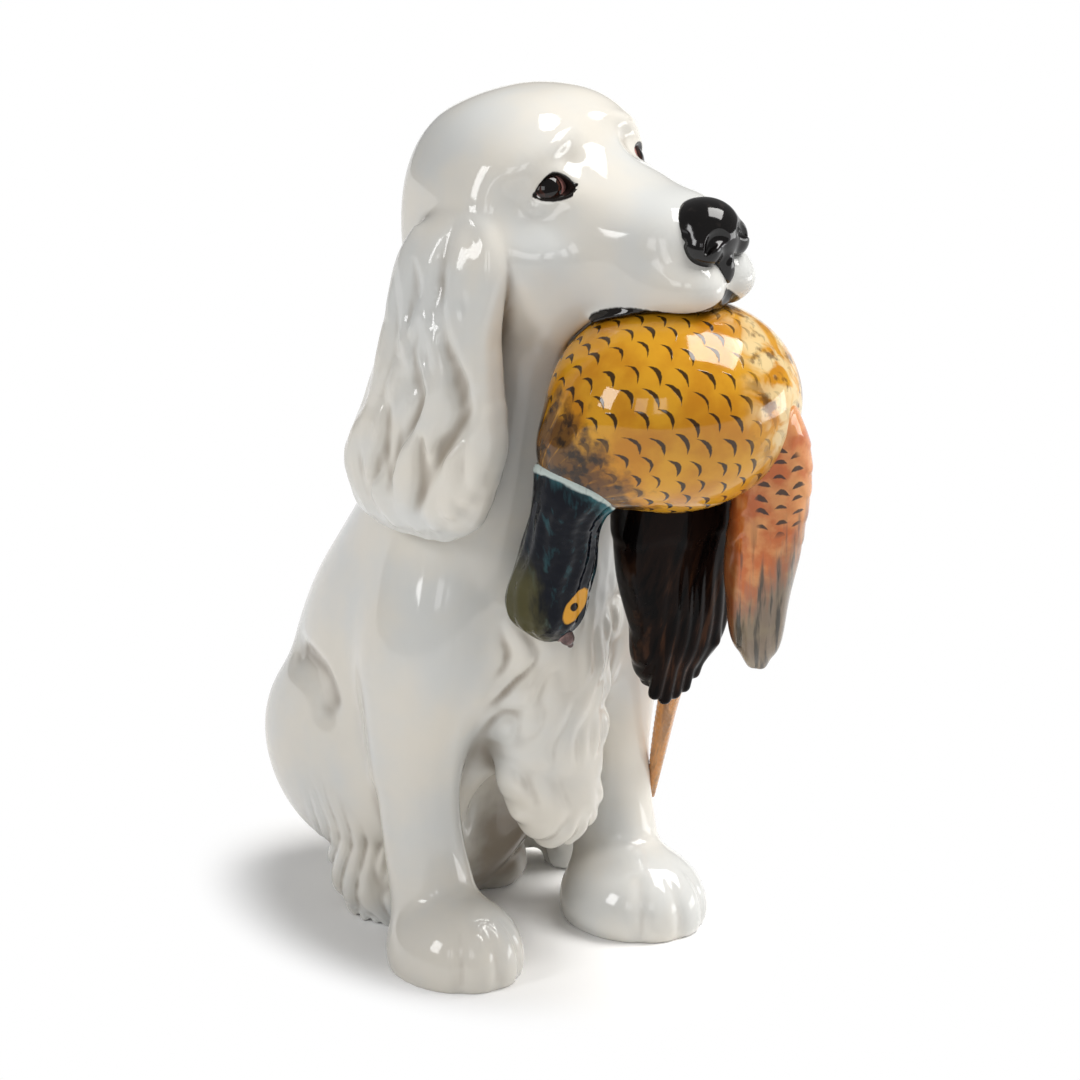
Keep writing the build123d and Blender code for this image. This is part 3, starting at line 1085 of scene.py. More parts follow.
@dataclass(frozen=True)
class Glaze:
    """A fired glaze: how smooth it is and how much its surface ripples."""

    name: str
    smooth: float = 0.05
    uneven: float = 0.06
    ripple: float = 0.10
    ripple_pitch: float = 16.0
    sheen: float = 0.5

    def finish(
        self, pot: Pot, colour: bpy.types.NodeSocket, drawn: Optional[Wire] = None
    ) -> bpy.types.Material:
        """Fire a colour under the glaze.

        Args:
            pot: the material being mixed.
            colour: the colour under the glaze.
            drawn: paint that stands a little proud, 0 to 1, if any.

        Returns:
            The finished material.
        """
        cloud = pot.noise(11.0, 3.0)
        rough = cloud.rise(0.35, 0.75) * self.uneven + self.smooth
        relief = pot.noise(self.ripple_pitch, 1.0)
        if drawn is not None:
            relief = relief + drawn * 0.25
        pot.fire(colour, rough, relief, self.ripple)
        pot.shader.inputs["Specular IOR Level"].default_value = self.sheen
        return pot.material


@dataclass(frozen=True)
class WhiteGlaze(Glaze):
    """Off-white tin glaze, brownish grey in the hollows where glaze pools and as painted shade, with a
    painted shade under the belly and black paint on lips and lids.
    """

    warm: Colour = paint(229, 224, 214)
    cool: Colour = paint(218, 219, 217)
    pooled_glaze_and_shade: Colour = paint(140, 127, 111)
    speck: Colour = paint(92, 82, 72)
    black: Colour = paint(24, 20, 18)
    lid: float = 1.2
    lip: float = 0.8
    # Middle and reach of the painted shade under the belly, between the legs.
    belly_shade: Vec = spot(8.0, -42.0, 22.0)
    belly_shade_reach: Vec = (24.0, 34.0, 32.0)

    def material(self, marked: bool) -> bpy.types.Material:
        """Mix the glaze.

        Args:
            marked: whether the mesh holds the marks of the lids and the lips.

        Returns:
            The material.
        """
        pot = Pot(self.name)
        colour = pot.mix(self.warm, self.cool, pot.noise(38.0, 3.0).rise(0.35, 0.68))
        # Brownish grey in hollows and creases: partly glaze pooled there, partly painted shade.
        hollow = pot.mark("hollow") + pot.sway(0.10, 5.0, 3.0)
        colour = pot.mix(colour, self.pooled_glaze_and_shade, hollow.rise(0.05, 0.85) * 0.8)
        # Painted shade under the belly and between the legs, over the left hind foot, with a ragged edge.
        x, y, z = pot.axes(Stand(self.belly_shade))
        wide, deep, tall = self.belly_shade_reach
        under = (x * x / wide ** 2 + y * y / deep ** 2 + z * z / tall ** 2).math("SQRT")
        belly_shade_edge = under + pot.sway(0.4, 9.0, 3.0)
        colour = pot.mix(colour, self.pooled_glaze_and_shade, belly_shade_edge.rise(1.05, 0.4) * 0.9)
        spots = pot.specks(24.0, 0.034) * pot.noise(60.0).rise(0.5, 0.62)
        colour = pot.mix(colour, self.speck, spots * 0.8)
        if marked:
            edge = pot.sway(0.7, 2.4, 2.0)
            lids = (pot.mark("lid") + edge).rise(self.lid + 0.25, self.lid - 0.25)
            lips = (pot.mark("lip") + edge * 1.6).rise(self.lip + 0.35, self.lip - 0.35)
            colour = pot.mix(colour, self.black, lids.math("MAXIMUM", lips))
        return self.finish(pot, colour)


@dataclass(frozen=True)
class NoseGlaze(Glaze):
    """Glossy black of the nose leather, with a grain of fine pits."""

    black: Colour = paint(17, 15, 15)
    worn: Colour = paint(48, 42, 40)

    def material(self) -> bpy.types.Material:
        """Mix the glaze."""
        pot = Pot(self.name)
        colour = pot.mix(self.black, self.worn, pot.noise(3.0, 4.0).rise(0.55, 0.8) * 0.7)
        return self.finish(pot, colour, pot.noise(1.6, 2.0))


@dataclass(frozen=True)
class EyeGlaze(Glaze):
    """A painted eye: black pupil, dark brown iris, and pinkish white in the corners."""

    pupil: Colour = paint(16, 11, 10)
    iris: Colour = paint(66, 34, 24)
    iris_edge: Colour = paint(26, 16, 12)
    white: Colour = paint(182, 126, 120)
    pupil_radius: float = 2.6
    iris_radius: float = 4.2
    aside: float = 1.4
    above: float = 1.4

    def material(self, stand: Stand) -> bpy.types.Material:
        """Mix the glaze for one eye.

        Args:
            stand: the eye's frame, with u towards the nose, v up and w outward.

        Returns:
            The material.
        """
        pot = Pot(f"{self.name} {stand.origin[0]:.0f}")
        u, v, _ = pot.axes(stand)
        u, v = u + self.aside, v - self.above
        away = (u * u + v * v).math("SQRT")
        wobble = pot.sway(0.8, 2.0, 2.0)
        strands = pot.noise(1.0, 2.0)
        iris = pot.mix(self.iris, self.iris_edge, strands.rise(0.4, 0.7))
        iris = pot.mix(iris, self.iris_edge, away.rise(self.iris_radius - 1.3, self.iris_radius))
        in_iris = (away + wobble).rise(self.iris_radius + 0.4, self.iris_radius - 0.2)
        colour = pot.mix(self.white, iris, in_iris)
        in_pupil = (away + wobble * 0.4).rise(self.pupil_radius + 0.3, self.pupil_radius)
        colour = pot.mix(colour, self.pupil, in_pupil)
        return self.finish(pot, colour)


@dataclass(frozen=True)
class BreastGlaze(Glaze):
    """Ochre breast painted with staggered rows of dark crescents."""

    ochre: Colour = paint(218, 157, 36)
    gold: Colour = paint(196, 129, 24)
    pale: Colour = paint(232, 210, 160)
    umber: Colour = paint(84, 54, 28)
    ink: Colour = paint(32, 24, 18)
    row_pitch: float = 6.4
    around: int = 25

    def material(self, ball: Stand, radius: float, tail_side: Vec, root: Vec) -> bpy.types.Material:
        """Mix the glaze over the bird's round body.

        Args:
            ball: the body's frame, with w running from the neck to the tail.
            radius: the body's mean radius.
            tail_side: the way of the side where the marks fade.
            root: where the neck leaves the body.

        Returns:
            The material.
        """
        pot = Pot(self.name)
        u, v, w = pot.axes(ball)
        spread = (u * u + v * v).math("SQRT")
        along = spread.math("ARCTAN2", -w) * radius
        turn = v.math("ARCTAN2", u) / (2 * math.pi)
        drift = pot.sway(5.0, 26.0, 1.0)
        rows = (along + drift) / self.row_pitch
        stagger = (rows.floor() * 0.5).part()
        columns = (turn + drift * 0.002) * float(self.around) + stagger
        up, across, draw = pot.cells(rows, columns, 0.26)
        bow = up - 0.20 + across * across * 1.7
        thick = (1.0 - (across / 0.47).math("POWER", 2.0)) * (draw * 0.06 + 0.11)
        rag = pot.sway(0.12, 1.4, 2.0)
        crescent = (thick - abs(bow) + rag).rise(0.0, 0.06)
        fade = pot.along(ball.origin, tail_side)
        seen = (fade + pot.sway(26.0, 14.0)).rise(0.78 * radius, 0.36 * radius)
        colour = pot.mix(self.ochre, self.gold, pot.noise(16.0, 4.0).rise(0.38, 0.66))
        blotch = pot.noise(12.0, 3.0, warp=1.0)
        colour = pot.mix(colour, self.pale, (1.0 - seen) * blotch.rise(0.42, 0.60) * 0.85)
        colour = pot.mix(colour, self.umber, (1.0 - seen) * pot.noise(6.0, 4.0).rise(0.54, 0.66) * 0.8)
        streak = pot.noise(1.0, 3.0, pot.joined(turn * 60.0, along / 16.0, 0.0))
        a, b, c = pot.axes(Stand(root))
        away = (a * a + b * b + c * c).math("SQRT")
        base = (away + pot.sway(22.0, 6.0, 4.0)).rise(27.0, 19.0)
        colour = pot.mix(colour, self.umber, base * streak.rise(0.2, 0.45) * 0.9)
        colour = pot.mix(colour, self.ink, base * pot.noise(5.0, 4.0).rise(0.46, 0.62) * 0.9)
        marks = crescent * (seen * 0.8 + 0.2) * (1.0 - base * 0.6)
        colour = pot.mix(colour, self.ink, marks * 0.94)
        return self.finish(pot, colour, marks)


@dataclass(frozen=True)
class NeckGlaze(Glaze):
    """Neck and head: a pale ring, then teal running into blue-black, an olive cap and an orange eye patch."""

    ring: Colour = paint(196, 208, 204)
    teal: Colour = paint(52, 100, 108)
    night: Colour = paint(10, 14, 24)
    cap: Colour = paint(80, 76, 46)
    nape: Colour = paint(62, 42, 24)
    wattle: Colour = paint(222, 160, 58)
    pupil: Colour = paint(24, 18, 16)

    def material(self, neck: Stand, ring: float, patch: Stand) -> bpy.types.Material:
        """Mix the glaze.

        Args:
            neck: the neck's frame, with w running down it.
            ring: how far down the pale ring is, where u is zero.
            patch: the eye patch's frame, with u along it and v across it.

        Returns:
            The material.
        """
        pot = Pot(self.name)
        u, v, w = pot.axes(neck)
        slant = w - u * RING_SLANT - ring + pot.sway(2.4, 6.0, 2.0)
        streak = pot.noise(1.0, 4.0, pot.joined(u / 2.6, v / 2.6, w / 15.0))
        colour = pot.mix(self.night, self.teal, streak.rise(0.54, 0.74) * 0.4)
        colour = pot.mix(colour, self.teal, (slant - u * 0.3 + (streak - 0.5) * 16.0).rise(9.0, 1.0))
        olive = (v * -1.0 - u * 0.8 + (streak - 0.5) * 12.0).rise(14.0, 24.0) * w.rise(30.0, 46.0)
        colour = pot.mix(colour, self.cap, olive * 0.9)
        colour = pot.mix(colour, self.nape, slant.rise(-0.6, -2.0))
        colour = pot.mix(colour, self.night, slant.rise(-0.6, -2.0) * streak.rise(0.5, 0.66) * 0.7)
        colour = pot.mix(colour, self.ring, abs(slant).rise(2.0, 1.1) * (1.0 - streak.rise(0.58, 0.7) * 0.35))
        a, b, c = pot.axes(patch)
        near = ((a / 6.8).math("POWER", 2.0) + (b / 3.4).math("POWER", 2.0)).math("SQRT")
        front = c.rise(-6.0, -4.0)
        colour = pot.mix(colour, self.wattle, (near + (streak - 0.5) * 0.3).rise(1.05, 0.9) * front)
        dot = ((a + 0.6) * (a + 0.6) + (b - 0.4) * (b - 0.4)).math("SQRT")
        colour = pot.mix(colour, self.pupil, dot.rise(1.7, 1.3) * front)
        return self.finish(pot, colour)


@dataclass(frozen=True)
class BeakGlaze(Glaze):
    """Mauve-brown beak, darker in streaks."""

    mauve: Colour = paint(142, 108, 104)
    dark: Colour = paint(70, 48, 46)

    def material(self) -> bpy.types.Material:
        """Mix the glaze."""
        pot = Pot(self.name)
        return self.finish(pot, pot.mix(self.mauve, self.dark, pot.noise(4.0, 4.0).rise(0.4, 0.7)))


@dataclass(frozen=True)
class WingGlaze(Glaze):
    """Russet wing with rows of dark dashes, and grey-green streaks on its long feathers."""

    russet: Colour = paint(196, 104, 48)
    tan: Colour = paint(220, 150, 88)
    slate: Colour = paint(108, 112, 100)
    brown: Colour = paint(104, 60, 34)
    ink: Colour = paint(34, 25, 20)
    row_pitch: float = 5.0
    dash_pitch: float = 5.6

    def material(self, wing: Stand, turn: float) -> bpy.types.Material:
        """Mix the glaze.

        Args:
            wing: the wing's frame, with v across its face and w down.
            turn: how far down the russet runs into grey.

        Returns:
            The material.
        """
        pot = Pot(self.name)
        _, v, w = pot.axes(wing)
        drift = pot.sway(4.0, 12.0, 1.0)
        columns = (v + drift * 0.5) / self.dash_pitch
        rows = (w + drift) / self.row_pitch + (columns.floor() * 0.5).part()
        up, across, draw = pot.cells(rows, columns, 0.2)
        bow = up + 0.12 - across * across * 1.2
        thick = (1.0 - (across / 0.42).math("POWER", 2.0)) * (draw * 0.08 + 0.17)
        dash = (thick - abs(bow) + pot.sway(0.14, 1.2)).rise(0.0, 0.08)
        far = ((v - 2.5) / 8.5).math("POWER", 2.0) + ((w - 32.0) / 17.0).math("POWER", 2.0)
        dash = dash * (far + (draw - 0.5) * 0.5).rise(1.25, 0.8)
        streak = pot.noise(1.0, 4.0, pot.joined(v / 2.2, w / 26.0, 0.0))
        colour = pot.mix(self.russet, self.tan, pot.noise(9.0, 4.0).rise(0.4, 0.66))
        colour = pot.mix(colour, self.tan, (w + (streak - 0.5) * 8.0).rise(16.0, 6.0) * 0.7)
        colour = pot.mix(colour, self.brown, streak.rise(0.52, 0.66) * w.rise(38.0, 60.0) * 0.8)
        low = (w + v * 1.3 + (streak - 0.5) * 40.0).rise(turn - 12.0, turn + 14.0)
        colour = pot.mix(colour, self.slate, low * 0.85)
        colour = pot.mix(colour, self.ink, low * streak.rise(0.5, 0.62) * 0.7)
        # Painted shade: brown along the wing's edge beside the ball and rump, where shade falls between them.
        edge = (v + (streak - 0.5) * 4.0).rise(-9.0, -12.5) * w.rise(20.0, 34.0)
        colour = pot.mix(colour, self.brown, edge * 0.8)
        marks = dash * (1.0 - low * 0.6)
        return self.finish(pot, pot.mix(colour, self.ink, marks * 0.92), marks)


@dataclass(frozen=True)
class RumpGlaze(Glaze):
    """Brown-black rump and tail coverts, brushed on in long streaks."""

    umber: Colour = paint(66, 42, 28)
    dark: Colour = paint(24, 15, 12)
    ink: Colour = paint(9, 7, 7)

    def material(self, rump: Stand) -> bpy.types.Material:
        """Mix the glaze along the rump's frame, with u across it and w down."""
        pot = Pot(self.name)
        u, v, w = pot.axes(rump)
        streak = pot.noise(1.0, 4.0, pot.joined(u / 3.0 + w / 60.0, v / 8.0, w / 30.0))
        colour = pot.mix(self.dark, self.umber, streak.rise(0.52, 0.70) * w.rise(20.0, 60.0))
        colour = pot.mix(colour, self.ink, streak.rise(0.50, 0.38))
        return self.finish(pot, colour, streak)


@dataclass(frozen=True)
class FeatherGlaze(Glaze):
    """Orange-tan tail feather, streaked along its length, with a pale quill."""

    tan: Colour = paint(204, 140, 78)
    light: Colour = paint(230, 182, 124)
    brown: Colour = paint(120, 70, 36)

    def material(self, feather: Stand) -> bpy.types.Material:
        """Mix the glaze along the feather's frame, with u across it and w along."""
        pot = Pot(self.name)
        u, _, w = pot.axes(feather)
        streak = pot.noise(1.0, 4.0, pot.joined(u / 1.8, w / 22.0, 0.0))
        colour = pot.mix(self.tan, self.light, streak.rise(0.4, 0.7))
        colour = pot.mix(colour, self.brown, (streak + abs(u) * 0.03).rise(0.58, 0.76) * 0.7)
        colour = pot.mix(colour, self.light, abs(u).rise(1.0, 0.4) * 0.5)
        return self.finish(pot, colour, streak)


HEAD_TURN = math.radians(16.0)
HEAD_STAND = Stand(
    spot(0.0, -4.0, 254.0),
    u=(math.cos(HEAD_TURN), math.sin(HEAD_TURN), 0.0),
    v=(0.0, 0.0, 1.0),
    w=(math.sin(HEAD_TURN), -math.cos(HEAD_TURN), 0.0),
)
BIRD_MIDDLE: Vec = (11.8, -70.6, 201.3)
BIRD_RADII: Vec = (43.0, 38.0, 34.5)
RING_SLANT = 0.62


class DogPart:
    """A part of the dog that is modelled in the dog's one block of clay."""

    def model(self, clay: Clay, owner: int) -> None:
        """Build the part up in the clay.

        Args:
            clay: the block.
            owner: the number of the part's own piece.
        """
        raise NotImplementedError


@dataclass
class Torso(DogPart):
    """The seated trunk with its two haunches."""

    rows: tuple[tuple[float, float, float, float], ...] = (
        (0, -68, 20, 22), (10, -67, 27, 30), (26, -66, 37, 40), (48, -64, 46, 49), (70, -60, 51, 54),
        (95, -51, 51, 57), (118, -42, 49, 54), (140, -32, 45, 48), (165, -22, 41, 42), (190, -14, 37, 37),
        (215, -8, 35, 35), (235, -5, 33, 33),
    )
    haunch_spread: float = 36.0
    haunch_back: float = 63.0
    haunch_rise: float = 57.0
    haunch_radii: Vec = (18.5, 42.0, 35.0)
    crease: Run = (
        (-45.0, -73.0, 92.5), (-49.0, -61.5, 92.0), (-50.5, -53.5, 89.0), (-51.0, -49.5, 82.5),
    )
    crease_ends: Floats = (-4.0, -0.5, 0.0, -3.5)
    crease_back: Vec = (0.0, 4.0, -3.0)
    crease_soft: float = 6.5
    crease_crisp: float = 2.8
    soft_depth: float = 2.4
    crisp_depth: float = 1.5
    breast: Vec = spot(0, -9.0, 108.0)
    breast_radii: Vec = (37.0, 19.0, 36.0)
    gap: Vec = spot(0, -19.0, 34.0)
    gap_radii: Vec = (16.0, 13.0, 30.0)

    def model(self, clay: Clay, owner: int) -> None:
        """Build the trunk up in the clay."""
        rows = tuple((z, 0.0, forward, wide, deep) for z, forward, wide, deep in self.rows)
        clay.add(Loft(Stand(spot(0, 0, 0)), rows), owner=owner)
        for side in Side:
            middle = spot(side.value * self.haunch_spread, -self.haunch_back, self.haunch_rise)
            clay.add(Lump(Stand(middle), self.haunch_radii), 8.0, owner)
            self._fold(clay, side.value)
        clay.add(Lump(Stand(self.breast), self.breast_radii), 12.0, owner)
        clay.carve(Lump(Stand(self.gap), self.gap_radii), 10.0)

    def _fold(self, clay: Clay, sign: int) -> None:
        """Press in the fold between the shoulder and the flank of one side."""
        run = tuple(spot(-sign * x, forward, up) for x, forward, up in self.crease)
        behind = shifted(run, self.crease_back)
        crisp = Stroke(run, self.crease_ends).eased()
        soft = Stroke(behind, tuple(2 * end for end in self.crease_ends)).eased()

        def relief(x: Array, y: Array, z: Array) -> Array:
            """Sink the skin, steeply in front and gently behind."""
            near = np.exp(-(crisp.distance(x, y, z) / self.crease_crisp) ** 2)
            wide = np.exp(-(soft.distance(x, y, z) / self.crease_soft) ** 2)
            return -self.crisp_depth * near - self.soft_depth * wide

        clay.ruffle(Stroke(behind, (4.0,) * len(run)), relief, 18.0)


@dataclass(frozen=True)
class Almond(Form):
    """The opening between an eye's lids, cut down to the eyeball, in the eye's own frame."""

    stand: Stand
    half: float
    top: float
    bottom: float
    tilt: float
    floor: float

    def outline(self, u: Array, v: Array) -> Array:
        """Return each point's distance from the opening's edge, less than zero inside it.

        Args:
            u: the points' places towards the nose.
            v: the points' places upward.

        Returns:
            The distances, in millimetres.
        """
        t = u / self.half
        arch = np.maximum(1 - t * t, 0)
        lean = self.tilt * u
        upper = v - lean - (self.top * arch ** 0.75)
        lower = -self.bottom * arch ** 0.75 + lean - v
        past = np.maximum(np.abs(u) - self.half, 0)
        gap = np.maximum(upper, lower)
        return np.where(past > 0, np.sqrt(past ** 2 + np.maximum(gap, 0) ** 2), gap)

    def reach(self) -> tuple[Array, Array]:
        """Return the lowest and highest corner around the opening."""
        middle = np.array(self.stand.origin)
        return middle - self.half * 2, middle + self.half * 2

    def distance(self, x: Array, y: Array, z: Array) -> Array:
        """Return each point's distance from the opening's sides and floor."""
        u, v, w = self.stand.local(x, y, z)
        deep = self.floor - np.sqrt(u * u + v * v + w * w)
        return np.maximum(np.maximum(self.outline(u, v), deep), -w)


@dataclass
class Eye:
    """One eye: its ball, the lids around it and the frame that it looks along."""

    side: Side
    place: Vec = (20.6, 14.0, 16.8)
    look: Vec = (0.36, 0.20, 0.91)
    ball: float = 8.5
    lid: float = 9.0
    half: float = 6.1
    top: float = 4.9
    bottom: float = 1.9
    tilt: float = 0.08
    low_lid: Run = ((-7.5, -4.6, 6.4), (-2.0, -6.4, 6.4), (4.0, -6.0, 6.4), (8.5, -3.6, 6.4))
    low_lid_radii: Floats = (0.6, 1.0, 0.9, 0.5)
    bulge: Vec = (0.3, 0.4, 1.2)
    bulge_radius: float = 5.6

    @property
    def stand(self) -> Stand:
        """The eye's frame: u level and towards the nose, v up and w outward."""
        sign = self.side.value
        left, up, ahead = sign * self.look[0], self.look[1], self.look[2]
        head = list(zip(HEAD_STAND.u, HEAD_STAND.v, HEAD_STAND.w))
        w = unit([left * a + up * b + ahead * c for a, b, c in head])
        u = unit([-sign * ahead * a + abs(left) * c for a, _, c in head])
        v = cross(w, u) if sign > 0 else cross(u, w)
        origin = HEAD_STAND.point(sign * self.place[0], self.place[1], self.place[2])
        return Stand(origin, u, v if v[2] > 0 else tuple(-c for c in v), w)

    @property
    def almond(self) -> Almond:
        """The opening between the lids."""
        return Almond(self.stand, self.half, self.top, self.bottom, self.tilt, self.ball - 1.2)

    def model(self, clay: Clay) -> None:
        """Lay the lids over the eyeball's place and open them."""
        stand = self.stand
        clay.add(Lump(stand, (self.lid,) * 3), 5.0)
        clay.add(Stroke(stand.run(self.low_lid), self.low_lid_radii), 4.0)
        clay.carve(self.almond, 0.9)

    def mark(self, points: Array) -> Array:
        """Return how far each point is from the opening's edge, for the painted rim.

        Args:
            points: the points of the head's skin.

        Returns:
            The distances, large for points that aren't on the lids.
        """
        u, v, w = self.stand.local(*points.T)
        gap = self.almond.outline(u, v)
        near = (w > 2.0) & (u * u + v * v + w * w < (self.lid + 5) ** 2)
        return np.where(near, gap, FAR)

    def build(self, finish: EyeGlaze) -> None:
        """Make the eyeball, with a little bulge in front."""
        stand = self.stand
        clay = Clay.around(stand.origin, self.ball + 2, 0.35)
        clay.add(Lump(stand, (self.ball,) * 3))
        front = (self.bulge_radius, self.bulge_radius, self.ball - 1.1)
        clay.add(lump_on(stand, self.bulge, front), 2.0)
        clay.soften(1)
        name = f"{self.side.prefix}_eye"
        piece = make_piece(f"{name}_ball", clay.skin(), {})
        fit(piece, name, finish.material(stand))


@dataclass
class Head(DogPart):
    """The skull and muzzle, with flews, brows, cheeks and lids."""

    rows: tuple[tuple[float, float, float, float], ...] = (
        (-43, 263, 240, 8), (-39, 274, 226, 20), (-28, 287, 216, 33), (-12, 293.5, 212, 40),
        (2, 295, 211, 42), (16, 291, 210, 40), (28, 279, 212, 34), (39, 272.5, 221, 27.5),
        (50, 269.5, 229, 23.5), (60, 267.5, 235, 19.5), (67, 262, 240, 14), (71, 256, 244, 9),
    )
    middle: float = 254.0
    flew: Vec = (8.5, -12.0, 50.0)
    flew_radii: Vec = (15.0, 13.5, 28.5)
    lip: tuple[tuple[float, float, float, float], ...] = (
        (-25.8, -26.0, 40.4, 1.8), (-24.4, -23.8, 44.0, 2.8), (-23.8, -21.2, 51.7, 2.5),
        (-21.4, -19.9, 59.1, 1.7), (-17.4, -19.5, 65.5, 0.9),
    )
    edge_radii: Floats = (2.0, 3.0, 3.0, 2.6, 1.5)
    edge_inset: float = 0.86
    edge_rise: float = 3.4
    chin: Vec = (-2.0, -18.0, 66.0)
    chin_radii: Vec = (9.0, 6.0, 9.0)
    cheek: Vec = (31.0, 0.0, 14.0)
    cheek_radii: Vec = (8.0, 14.0, 17.0)
    socket: Vec = (41.0, 13.0, 31.0)
    socket_radii: Vec = (13.5, 13.0, 17.0)
    stop: Vec = (18.5, 27.7, 31.0)
    stop_radii: Vec = (8.5, 8.0, 9.5)
    stop_lean: float = 1.2
    brow: Run = ((9.0, 32.0, 19.5), (16.0, 30.0, 20.5), (23.0, 26.2, 18.5), (29.5, 20.8, 14.0))
    brow_radii: Floats = (0.4, 1.8, 2.0, 0.4)
    far_lip_from: float = 4.0
    far_lip_span: tuple[float, float] = (43.0, 66.0)
    far_lip_rise: float = -23.0
    front_lip_from: float = 60.0
    front_lip_below: float = -8.0
    front_lip_tall: float = 8.0
    eyes: tuple[Eye, ...] = (Eye(Side.RIGHT), Eye(Side.LEFT))

    def model(self, clay: Clay, owner: int) -> None:
        """Build the head up in the clay."""
        rows = tuple(
            (p, 0.0, (top + low) / 2 - self.middle, wide, (top - low) / 2) for p, top, low, wide in self.rows
        )
        clay.add(Loft(HEAD_STAND, rows, power=2.3), 10.0, owner)
        for side in Side:
            self._half(clay, owner, side.value)
        clay.add(lump_on(HEAD_STAND, self.chin, self.chin_radii), 3.0)
        edge = [(self.edge_inset * q, up + self.edge_rise, p) for q, up, p, _ in self.lip]
        clay.add(Stroke(HEAD_STAND.run(edge), self.edge_radii).eased(), 6.0)
        clay.add(self._lip(), 1.5)
        for eye in self.eyes:
            eye.model(clay)

    def _lip(self) -> Stroke:
        """Return the rolled lip that lies on the bird."""
        run = HEAD_STAND.run([row[:3] for row in self.lip])
        return Stroke(run, tuple(radius for *_, radius in self.lip)).eased()

    def _half(self, clay: Clay, owner: int, sign: int) -> None:
        """Build up the flew, cheek and brow of one side, and hollow out the place of its eye.

        Args:
            clay: the block.
            owner: the number of the head piece.
            sign: -1 for the dog's right, 1 for its left.
        """
        across, up, ahead = self.stop
        stop = (across, up - self.stop_lean * sign, ahead)
        clay.add(lump_on(HEAD_STAND, self.flew, self.flew_radii, sign), 8.0, owner)
        clay.add(lump_on(HEAD_STAND, self.cheek, self.cheek_radii, sign), 12.0, owner)
        clay.carve(lump_on(HEAD_STAND, self.socket, self.socket_radii, sign), 18.0)
        clay.carve(lump_on(HEAD_STAND, stop, self.stop_radii, sign), 10.0)
        clay.add(Stroke(HEAD_STAND.run(self.brow, sign), self.brow_radii).eased(), 10.0, owner)

    def marks(self, skin: Skin) -> dict[str, Array]:
        """Mark where the lids and the lips are painted.

        Args:
            skin: the head's skin.

        Returns:
            The marks by name.
        """
        lids = np.minimum(self.eyes[0].mark(skin.points), self.eyes[1].mark(skin.points))
        ball = Lump(Stand(BIRD_MIDDLE), BIRD_RADII).distance(*skin.points.T)
        q, up, p = HEAD_STAND.local(*skin.points.T)
        side = self._lip().distance(*skin.points.T)
        back, front = self.far_lip_span
        beside = (q > self.far_lip_from) & (p > back) & (p < front)
        far = np.where(beside, up - self.far_lip_rise, FAR)
        ahead = (p > self.front_lip_from) & (up < self.front_lip_below)
        middle = np.where(ahead, ball + 0.5 * np.abs(q + 2.0) - self.front_lip_tall, FAR)
        return {"lid": lids, "lip": np.minimum(np.minimum(side, far), middle)}


@dataclass
class Nose:
    """The nose leather, with its wings, nostrils and the groove below."""

    place: tuple[float, float] = (3.6, 67.2)
    radii: Vec = (12.4, 10.6, 10.4)
    bridge: Vec = (0.0, 3.6, -2.0)
    bridge_radii: Vec = (10.5, 7.6, 10.0)
    lip: Vec = (0.0, -10.0, 4.6)
    lip_radii: Vec = (3.8, 7.0, 5.8)
    wing: Vec = (7.6, -2.4, 3.4)
    wing_radii: Vec = (5.8, 6.6, 6.8)
    nostril: Run = ((3.8, 1.2, 11.0), (6.4, 2.2, 10.2), (9.0, 1.0, 8.8), (10.6, -2.6, 7.4))
    nostril_radii: Floats = (1.6, 2.6, 2.2, 1.0)
    wrinkles: Floats = (1.0, 3.8, 6.4)
    groove: Run = ((0.0, 3.5, 11.8), (0.0, -4.0, 11.6), (0.0, -15.0, 11.0))
    groove_radii: Floats = (0.3, 0.9, 0.9)

    def build(self, finish: NoseGlaze) -> None:
        """Sculpt the nose and set it on the muzzle.

        Args:
            finish: the nose's glaze.
        """
        up, p = self.place
        stand = HEAD_STAND.moved(0.0, up, p)
        clay = Clay.around(stand.origin, 22.0, 0.42)
        clay.add(Lump(stand, self.radii))
        clay.add(lump_on(stand, self.bridge, self.bridge_radii), 3.0)
        clay.add(lump_on(stand, self.lip, self.lip_radii), 3.0)
        for side in Side:
            sign = side.value
            clay.add(lump_on(stand, self.wing, self.wing_radii, sign), 2.2)
            clay.carve(Stroke(stand.run(self.nostril, sign), self.nostril_radii).eased(), 1.2)
            for high in self.wrinkles:
                ends = ((12.6, high, -7.0), (12.2, high - 1.2, 0.5))
                clay.carve(Stroke(stand.run(ends, sign), (0.8, 0.5)), 1.2)
        clay.carve(Stroke(stand.run(self.groove), self.groove_radii), 1.2)
        clay.soften(1)
        piece = make_piece("nose_leather", clay.skin(), {})
        fit(piece, "nose", finish.material())


